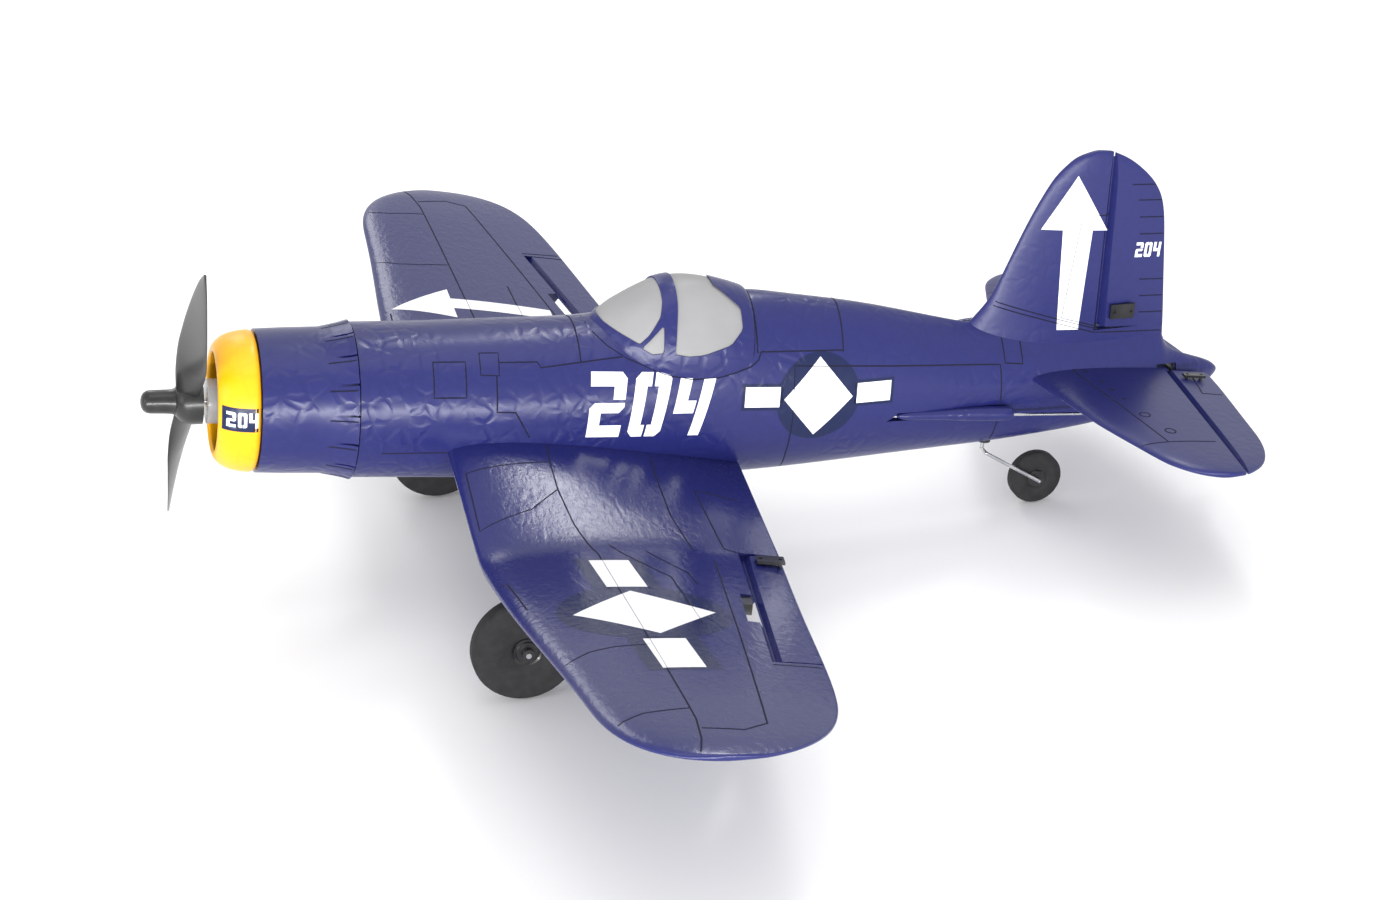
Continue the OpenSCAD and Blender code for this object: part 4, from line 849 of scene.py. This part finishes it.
blades = []
for turn in (0, 180):
    blade = smoothOut(loft("blade", [bladeRing(r) for r in propeller["stations"]]))
    blade.data.transform(Matrix.Rotation(math.radians(turn), 4, "X"))
    blades.append(blade)
propPiece = joinInto(turned("propellerBlades", propeller["hub"], 64, alongShaft), blades)
atRest = Matrix.Rotation(math.radians(propeller["turn"]), 4, "X")
propPiece.data.transform(Matrix.Translation((propeller["plane"], 0, 0)) @ atRest)
finishPiece(propPiece, "propeller", bladeBlack, ["propeller"], 35)
spinnerPiece = turned("spinnerNut", spinner["profile"], 64, alongShaft)
finishPiece(spinnerPiece, "propeller", satinBlack, ["spinner"], 35)

wheels = {
    "tread": [(15.5, 1.5), (15.5, -1.5), (15.1, -2.5), (14.1, -3), (5, -3), (4.6, -2.7), (2.4, -2.7), (2.4, 2.7),
              (4.6, 2.7), (5, 3), (14.1, 3), (15.1, 2.5), (15.5, 1.5)],
    "hub": [(0.95, 3.3), (3.1, 3.3), (3.4, 2.9), (3.8, 2.9), (4.3, 3.2), (4.3, 2.7), (2.4, 2.7), (2.4, -2.7),
            (4.3, -2.7), (4.3, -3.2), (3.8, -2.9), (3.4, -2.9), (3.1, -3.3), (0.95, -3.3), (0.95, 3.3)],
    "tailTread": [(8.6, 1.4), (8.6, -1.4), (7.8, -2.2), (3.4, -2.2), (3.2, -2), (1.9, -2), (1.9, 2), (3.2, 2),
                  (3.4, 2.2), (7.8, 2.2), (8.6, 1.4)],
    "tailHub": [(0.7, 2.5), (2.7, 2.5), (3, 2.2), (3, 2), (1.9, 2), (1.9, -2), (3, -2), (3, -2.2), (2.7, -2.5),
                (0.7, -2.5), (0.7, 2.5)],
}
outToPort = Matrix.Rotation(math.pi / 2, 4, "X")
for name, tread, hub, body, treadNode, hubNode in (
        ("port", "tread", "hub", "port_wheel", "wheel_port", "wheel_hub_port"),
        ("starboard", "tread", "hub", "starboard_wheel", "wheel_starboard", "wheel_hub_starboard"),
        ("tail", "tailTread", "tailHub", "tail_wheel", "tail_wheel", "tail_wheel_hub")):
    low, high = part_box(hubNode)
    centre = Matrix.Translation(standing.inverted() @ ((low + high) / 2)) @ outToPort
    finishPiece(turned("tyre." + name, wheels[tread], 96, centre), body, tyreFoam, [treadNode], 50)
    finishPiece(turned("hub." + name, wheels[hub], 64, centre), body, satinBlack, [hubNode], 30)
print("propeller and wheels are made")

# Everything drawn on the skins is laid on them by a ray from outside.
def landOn(tree, start, way):
    place, normal, _, _ = tree.ray_cast(Vector(start), Vector(way).normalized())
    if place is None:
        return None, None
    return place, normal if normal.dot(Vector(way)) < 0 else -normal


def spread(corners, step, closed=False):
    corners = corners + corners[:1] if closed else corners
    line = []
    for a, b in zip(corners, corners[1:]):
        count = max(1, math.ceil(math.dist(a, b) / step))
        line += [tuple(p + (q - p) * i / count for p, q in zip(a, b)) for i in range(count)]
    return line + [corners[-1]]


# Rays start this far out: (x, z) points seen from a side, (x, y) points seen from above.
outside = {"side": 60, "top": 90}


def fromSide(side, x, z):
    return (x, outside["side"] * side, z), (0, -side, 0)


def fromTop(x, y):
    return (x, y, outside["top"]), (0, 0, -1)


def onSide(side, corners):
    return [fromSide(side, x, z) for x, z in corners]


def onTop(corners):
    return [fromTop(x, y) for x, y in corners]


# Creases are cords of shadow sunk in the skin, with most of their thickness below it.
creases = {"radius": 0.42, "sunk": 0.30, "step": 2.0}


def makeLines(name, body, lines):
    curve = bpy.data.curves.new(name, "CURVE")
    curve.dimensions = "3D"
    curve.bevel_depth = creases["radius"]
    curve.bevel_resolution = 1
    curve.use_fill_caps = True
    for tree, rays in lines:
        run = []
        for start, way in rays + [(None, None)]:
            spot, normal = landOn(tree, start, way) if start is not None else (None, None)
            if spot is not None:
                run.append(spot - normal * creases["sunk"])
                continue
            if len(run) > 1:
                spline = curve.splines.new("POLY")
                spline.points.add(len(run) - 1)
                for point, at in zip(spline.points, run):
                    point.co = (*at, 1)
            run = []
    wire = bpy.data.objects.new(name + ".wire", curve)
    scene.collection.objects.link(wire)
    mesh = bpy.data.meshes.new_from_object(wire.evaluated_get(bpy.context.evaluated_depsgraph_get()))
    bpy.data.objects.remove(wire)
    return finishPiece(addPiece(name, mesh), body, lineShade, (), 0)


# The marks are thin sheets of paint: flat outlines cut into small cells, then laid on the skin.
paintSheet = {"cell": 1.6, "above": 0.05}


def makeMark(name, body, shapes, toRay, tree, material, above=paintSheet["above"],
             size=paintSheet["cell"]):
    work = bmesh.new()
    for shape in shapes:
        work.faces.new([work.verts.new((a, b, 0)) for a, b in shape])
    low = [min(v.co[i] for v in work.verts) for i in (0, 1)]
    high = [max(v.co[i] for v in work.verts) for i in (0, 1)]
    for i in (0, 1):
        at = low[i] + size
        while at < high[i]:
            middle, facing = [0, 0, 0], [0, 0, 0]
            middle[i], facing[i] = at, 1
            everything = work.verts[:] + work.edges[:] + work.faces[:]
            bmesh.ops.bisect_plane(work, geom=everything, plane_co=middle, plane_no=facing)
            at += size
    lost = []
    outward = Vector()
    for vert in work.verts:
        start, way = toRay(vert.co.x, vert.co.y)
        spot, normal = landOn(tree, start, way)
        if spot is None:
            lost.append(vert)
            continue
        vert.co = spot + normal * above
        outward += normal
    bmesh.ops.delete(work, geom=lost, context="VERTS")
    bmesh.ops.recalc_face_normals(work, faces=work.faces)
    work.normal_update()
    for face in work.faces:
        if face.normal.dot(outward) < 0:
            face.normal_flip()
    mesh = bpy.data.meshes.new(name)
    work.to_mesh(mesh)
    work.free()
    return finishPiece(addPiece(name, mesh), body, material, (), 0)


def disc(x, y, across, tall, count=48):
    angles = [2 * math.pi * i / count for i in range(count)]
    return [(x + across * math.cos(a), y + tall * math.sin(a)) for a in angles]


def slab(x0, x1, y0, y1):
    return [(x0, y0), (x1, y0), (x1, y1), (x0, y1)]


# Stencilled numerals on a cell 5 wide and 8 tall.
numerals = {
    "2": [[(0, 8), (4.3, 8), (5, 7.3), (5, 4.85), (3.3, 4.85), (3.3, 6.4), (0, 6.4)],
          [(5, 4.45), (5, 3.9), (4.3, 3.2), (1.7, 3.2), (1.7, 1.6), (5, 1.6), (5, 0), (0, 0), (0, 3.8), (0.7, 4.45)]],
    "0": [[(2.3, 8), (0.7, 8), (0, 7.3), (0, 0.7), (0.7, 0), (2.3, 0), (2.3, 1.6), (1.7, 1.6), (1.7, 6.4), (2.3, 6.4)],
          [(2.7, 8), (4.3, 8), (5, 7.3), (5, 0.7), (4.3, 0), (2.7, 0), (2.7, 1.6), (3.3, 1.6), (3.3, 6.4), (2.7, 6.4)]],
    "4": [[(0, 8), (1.7, 8), (1.7, 4.6), (3, 4.6), (3, 3), (0, 3)], [(3.35, 8), (5, 8), (5, 0), (3.35, 0)]],
}


def numberShapes(text, gap=1.2):
    return [[((a + k * (5 + gap)) / (len(text) * (5 + gap) - gap), b / 8) for a, b in shape]
            for k, sign in enumerate(text) for shape in numerals[sign]]


# marking positions in mm on the nose-level lines
marks = {
    "number": "204",
    "bodyNumber": {"low": ((93.6, -3.4), (128.4, -4.0)), "high": ((94.8, 15.4), (133.2, 15.2))},
    "rudderNumber": ((270.4, 45.4), (279.2, 50.2)),
    "ringNumber": ((-9.9, 0.4), (-1.3, 4.7)),
    "ringPatch": (-11, -0.5, -0.9, 5.9),
    "bodyDisc": {"at": (166, 6.2), "radius": 13.6, "diamond": (11.2, 12.2), "bars": 142.2, "inner": 12.6, "tall": 3.1,
                 "fall": 0.035, "rise": 0.4, "edge": 1.0},
    "wingDisc": {"at": (88.3, 114), "radius": (23.6, 18.6), "diamond": (19.5, 15), "bars": (76, 96, 132.5, 151.5),
                 "wide": (82.6, 94), "edge": (4, 1.2)},
    "wingArrow": [(59.5, 107.6), (80, 98), (80, 104.6), (113.4, 99.6), (113.4, 106.2), (80, 111.4), (80, 118)],
    "finArrow": [(246.6, 71.7), (259.2, 54.4), (254.2, 54.4), (254.6, 21.9), (247.2, 21.9), (244.2, 54.4),
                 (237.1, 54.4)],
}
numberPlain = numberShapes(marks["number"])


def bilinear(corners, a, b):
    (x0, z0), (x1, z1) = corners["low"]
    (x2, z2), (x3, z3) = corners["high"]
    lowPlace, highPlace = (x0 + (x1 - x0) * a, z0 + (z1 - z0) * a), (x2 + (x3 - x2) * a, z2 + (z3 - z2) * a)
    return tuple(p * (1 - b) + q * b for p, q in zip(lowPlace, highPlace))


# the number inside a rectangle, running the right way on either side
def numberIn(way, corners):
    (x0, z0), (x1, z1) = corners
    return [[(x0 + (x1 - x0) * (a if way < 0 else 1 - a), z0 + (z1 - z0) * b) for a, b in shape]
            for shape in numberPlain]


def numberRay(way, a, b):
    return fromSide(way, *bilinear(marks["bodyNumber"], a if way < 0 else 1 - a, b))


for side, way in (("port", -1), ("starboard", 1)):
    seen, numberSeen = partial(fromSide, way), partial(numberRay, way)
    makeMark("number." + side, "airframe", numberPlain, numberSeen, bodyTree, whiteOnBody, size=0.04)
    spec = marks["bodyDisc"]
    x, z = spec["at"]
    wide, tall = spec["diamond"]
    barLeft = [(at, z - spec["fall"] * (at - x) + spec["rise"] + up * spec["tall"])
               for at, up in ((spec["bars"], -1), (x - spec["inner"], -1), (x - spec["inner"], 1), (spec["bars"], 1))]
    barRight = [(2 * x - a, b) for a, b in barLeft]
    edge = spec["edge"]
    darkLeft = [(a + (edge if a > x - 20 else -edge), b + (edge if b > z else -edge)) for a, b in barLeft]
    darkBars = [darkLeft, [(2 * x - a, b) for a, b in darkLeft]]
    ring = disc(x, z, spec["radius"], spec["radius"])
    makeMark("roundelDark." + side, "airframe", [ring] + darkBars, seen, bodyTree, discOnBody, 0.03)
    diamond = [(x - wide, z), (x, z + tall), (x + wide, z), (x, z - tall)]
    makeMark("roundelWhite." + side, "airframe", [diamond, barLeft, barRight], seen, bodyTree, whiteOnBody, 0.07)

spec = marks["wingDisc"]
x, y = spec["at"]
x0, x1 = spec["wide"]
bars = [(-spec["bars"][i + 1], -spec["bars"][i]) for i in (0, 2)]
more, above = spec["edge"]
darkBars = [slab(x0 - more, x1 + more, low - above, high + above) for low, high in bars]
whiteBars = [slab(x0, x1, low, high) for low, high in bars]
ring = disc(x, -y, *spec["radius"])
makeMark("wingRoundelDark", "airframe", [ring] + darkBars, fromTop, wingTree, discOnWing, 0.03, size=3)
wide, tall = spec["diamond"]
diamond = [(x - wide, -y), (x, -y + tall), (x + wide, -y), (x, -y - tall)]
makeMark("wingRoundelWhite", "airframe", [diamond] + whiteBars, fromTop, wingTree, whiteOnWing, 0.07, size=3)
makeMark("wingArrow", "airframe", [marks["wingArrow"]], fromTop, wingTree, whiteOnWing, 0.07, size=3)
for side, way in (("port", -1), ("starboard", 1)):
    seen = partial(fromSide, way)
    makeMark("finArrow." + side, "airframe", [marks["finArrow"]], seen, finTree, whiteOnWing, 0.06)
    makeMark("rudderNumber." + side, "rudder", numberIn(way, marks["rudderNumber"]), seen, finTree, whiteOnWing, 0.06)
    patch = [slab(*marks["ringPatch"])]
    makeMark("ringPatch." + side, "airframe", patch, seen, ringTree, discOnBody, 0.05, 0.8)
    digits = numberIn(way, marks["ringNumber"])
    makeMark("ringNumber." + side, "airframe", digits, seen, ringTree, whiteOnWing, 0.12, 0.8)

# Panel lines on the body: closed boxes and open runs, then the hoops over its back.
boxRuns = ([(48.5, 17.6), (57.9, 17.7), (57.7, 9.1), (48.3, 9.1)],
           [(62.2, 19.5), (67.8, 19.6), (67.5, 14.6), (62.1, 14.7)])
openRuns = [
    [(67.8, 17.6), (79, 17.7), (80, 16.4), (92, 17.6), (104.4, 19)],
    [(66.7, 14.6), (66.7, 5), (72.2, 4.8), (76.8, -3.1)],
    [(33.9, -7.8), (53.3, -7.8)],
    [(146.8, 20.4), (173.5, 19.8)],
    [(159.7, -20.4), (158.7, -13), (158.3, -2.6), (157.8, 9.3), (157.7, 16.1), (190, 14.6), (227.4, 12.9),
     (228.6, -0.9), (229.2, -9), (229.4, -14)],
    [(228.9, 19.6), (229.2, 13.2), (235.3, 12.7), (235.1, 19)],
]
bodyLines = []
for way in (-1, 1):
    bodyLines += [(bodyTree, onSide(way, spread(run, creases["step"], True))) for run in boxRuns]
    bodyLines += [(bodyTree, onSide(way, spread(run, creases["step"]))) for run in openRuns]


def hoop(x, zStart, lean=0.0, steps=40):
    # over the back from one side to the other, down to zStart
    wide, top = lookUp(fuselage["half"], x), lookUp(fuselage["top"], x)
    middle = lookUp(fuselage["middle"], x)
    start = math.asin(min(1, (zStart - middle) / (top - middle)))
    rays = []
    for i in range(steps + 1):
        a = start + (math.pi - 2 * start) * i / steps
        way = Vector((0, -math.cos(a) * wide, -math.sin(a) * (top - middle)))
        foot = Vector((x + lean * (math.sin(a) - math.sin(start)), 0, middle))
        rays.append((foot - way * 2, way))
    return rays


bodyLines += [(bodyTree, hoop(92, 17.6)), (bodyTree, hoop(173.6, 19.8)), (bodyTree, hoop(145.8, 20.5, -1))]
canopySeam = [(95.6, 24.9), (97, 23.7), (100.5, 21.3), (105.7, 18.7), (109.5, 17.4), (117, 14.6), (125, 13.2),
              (133.4, 13.5), (139, 14.9), (143.6, 16.4), (146, 18.2), (146.8, 20.4)]
bodyLines += [(bodyTree, onSide(way, spread(canopySeam, creases["step"]))) for way in (-1, 1)]
makeLines("bodyLines", "airframe", bodyLines)

wingRuns = [
    [(82, -23), (81.4, -30.3), (81.3, -42.2), (82.9, -57), (86.6, -71.6), (83.6, -151), (82.2, -182), (80.6, -192),
     (78.5, -199)],
    [(114, -23), (113.2, -32), (113, -50.6), (115.6, -67.7)],
    [(56.4, -33), (81, -30.4)], [(56.4, -33), (56.4, -55.5), (72.2, -50.3), (81.3, -42.2)],
    [(137.4, -38.8), (124, -36.6), (125.2, -65.4), (128.6, -67.2)],
    [(55.6, -146), (60.2, -142.2), (67.1, -138.2), (73.9, -136.6), (83.6, -136.1)],
    [(60.2, -183), (65, -179.4), (70.4, -177), (82.2, -175.9)],
    [(82.2, -186.8), (92.5, -188.2), (99, -184.9)],
    [(119.8, -74.3), (109.8, -129.6), (99.2, -185)],
    [(91, -66.1), (103, -88.1), (101.9, -122)],
    [(101, -69.3), (109, -84.4), (109.1, -93)],
    [(55.2, -85.6), (57.9, -85.6), (58.9, -105)],
    [(112.6, -148.6), (125.6, -149.4)],
]
wingLines = []
for way in (1, -1):
    wingLines += [(wingTree, onTop(spread([(x, y * way) for x, y in run], creases["step"]))) for run in wingRuns]
makeLines("wingLines", "airframe", wingLines)
tailRuns = [[(252.6, -8.4), (260.6, -61.8), (276, -61.8)], [(252.6, -8.4), (256.8, -8.8)],
            [(248.6, -61.8), (260.6, -61.8)]]
tailRounds = [(261.6, 42.8, 1.6), (264.6, 54.5, 1.6), (256.5, 10.5, 0.5), (258.5, 17.5, 0.5), (259, 24, 0.5),
              (260, 31, 0.5)]
tabRuns = [[(293.6, -7.4), (289.8, -24.9), (296.6, -25.1)]]
tailLines = []
for way in (1, -1):
    tailLines += [(tailTree, onTop(spread([(x, y * way) for x, y in run], creases["step"]))) for run in tailRuns]
    for x, y, r in tailRounds:
        tailLines.append((tailTree, onTop(disc(x, -y * way, r, r, 20) + [(x + r, -y * way)])))
makeLines("tailplaneLines", "airframe", tailLines)
for way, side, body in ((1, "port", "elevator"), (-1, "starboard", "starboard_elevator")):
    tabLines = [(tailTree, onTop(spread([(x, y * way) for x, y in run], 2))) for run in tabRuns]
    makeLines("tabLines." + side, body, tabLines)
# ribs on the rudder run from ahead of its rear edge to just short of it
ribs = {"heights": (27, 32.5, 38, 53, 58.5, 64, 69), "ahead": 9, "short": 0.7}
rudderRuns = [[(lookUp(finShape["tail"], z) - back, z) for back in (ribs["ahead"], ribs["short"])]
              for z in ribs["heights"]]
makeLines("rudderRibs", "rudder", [(finTree, onSide(way, spread(run, 2))) for run in rudderRuns for way in (-1, 1)])
finRuns = [[(226, 30.7), (261.2, 21.9)], [(225.5, 29.4), (260.8, 20.7)],
           [(258.6, 59.2), (250.2, 59), (248.3, 25.8), (261, 22.8)], [(261, 20.8), (284.6, 20.6)]]
makeLines("finSeams", "airframe", [(finTree, onSide(way, spread(run, 2))) for run in finRuns for way in (-1, 1)])
# a second line beside each slit of the cowl
cowlLines = []
for i in range(cowl["flaps"]):
    turn = 360 * (i + 0.5) / cowl["flaps"] + cowl["beside"]
    out = Vector((0, math.cos(math.radians(turn)), math.sin(math.radians(turn))))
    places = [x for x, _ in spread([(x, turn) for x in cowl["line"]], 1)]
    cowlLines.append((cowlTree, [(Vector((x, 0, 0)) + out * cowl["reach"], -out) for x in places]))
makeLines("cowlLines", "airframe", cowlLines)
print("lines and markings are on")

# Floor, surroundings and lamps.
studio = {"floor": 3.0, "below": 0.0004, "world": 1.0}
floorWhite = makePlain("floorWhite", (0.93, 0.93, 0.93), (0.90, 0.90, 0.90), 0.02, 0.0, 0.85)
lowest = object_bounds()[0].z
far = studio["floor"]
corners = [(x, y, lowest - studio["below"]) for x, y in ((-far, -far), (far, -far), (far, far), (-far, far))]
floor = makePiece("floor", corners, [(0, 1, 2, 3)])
floor.data.materials.append(floorWhite)

world = bpy.data.worlds.new("studio")
world.use_nodes = True
background = world.node_tree.nodes["Background"]
background.inputs["Color"].default_value = (1, 1, 1, 1)
background.inputs["Strength"].default_value = studio["world"]
scene.world = world

scene.view_settings.view_transform = "Standard"

# name: (place, point looked at, width, height, watts)
lamps = {
    "topSoft": ((0.05, -0.2, 1.4), (0, 0, 0.05), 1.0, 0.8, 2.6),
    "lowStrip": ((-0.42, -1.35, 0.16), (0, 0, 0.08), 1.9, 0.12, 30),
    "noseSoft": ((-1.3, -0.3, 0.5), (0, 0, 0.06), 0.5, 0.5, 1.5),
    "rearStrip": ((-0.15, 1.25, 0.95), (0, 0, 0.06), 0.28, 0.7, 2),
    "rootGleam": ((0.40, 0.56, 1.0), (-0.05, -0.05, 0.05), 0.10, 0.45, 3),
}
for name, (place, target, width, height, watts) in lamps.items():
    light = bpy.data.lights.new(name, "AREA")
    light.shape = "RECTANGLE"
    light.size, light.size_y = width, height
    light.energy = watts
    lamp = bpy.data.objects.new(name, light)
    lamp.location = place
    lamp.rotation_euler = (Vector(target) - Vector(place)).to_track_quat("-Z", "Y").to_euler()
    scene.collection.objects.link(lamp)
print("stage and lights are set")
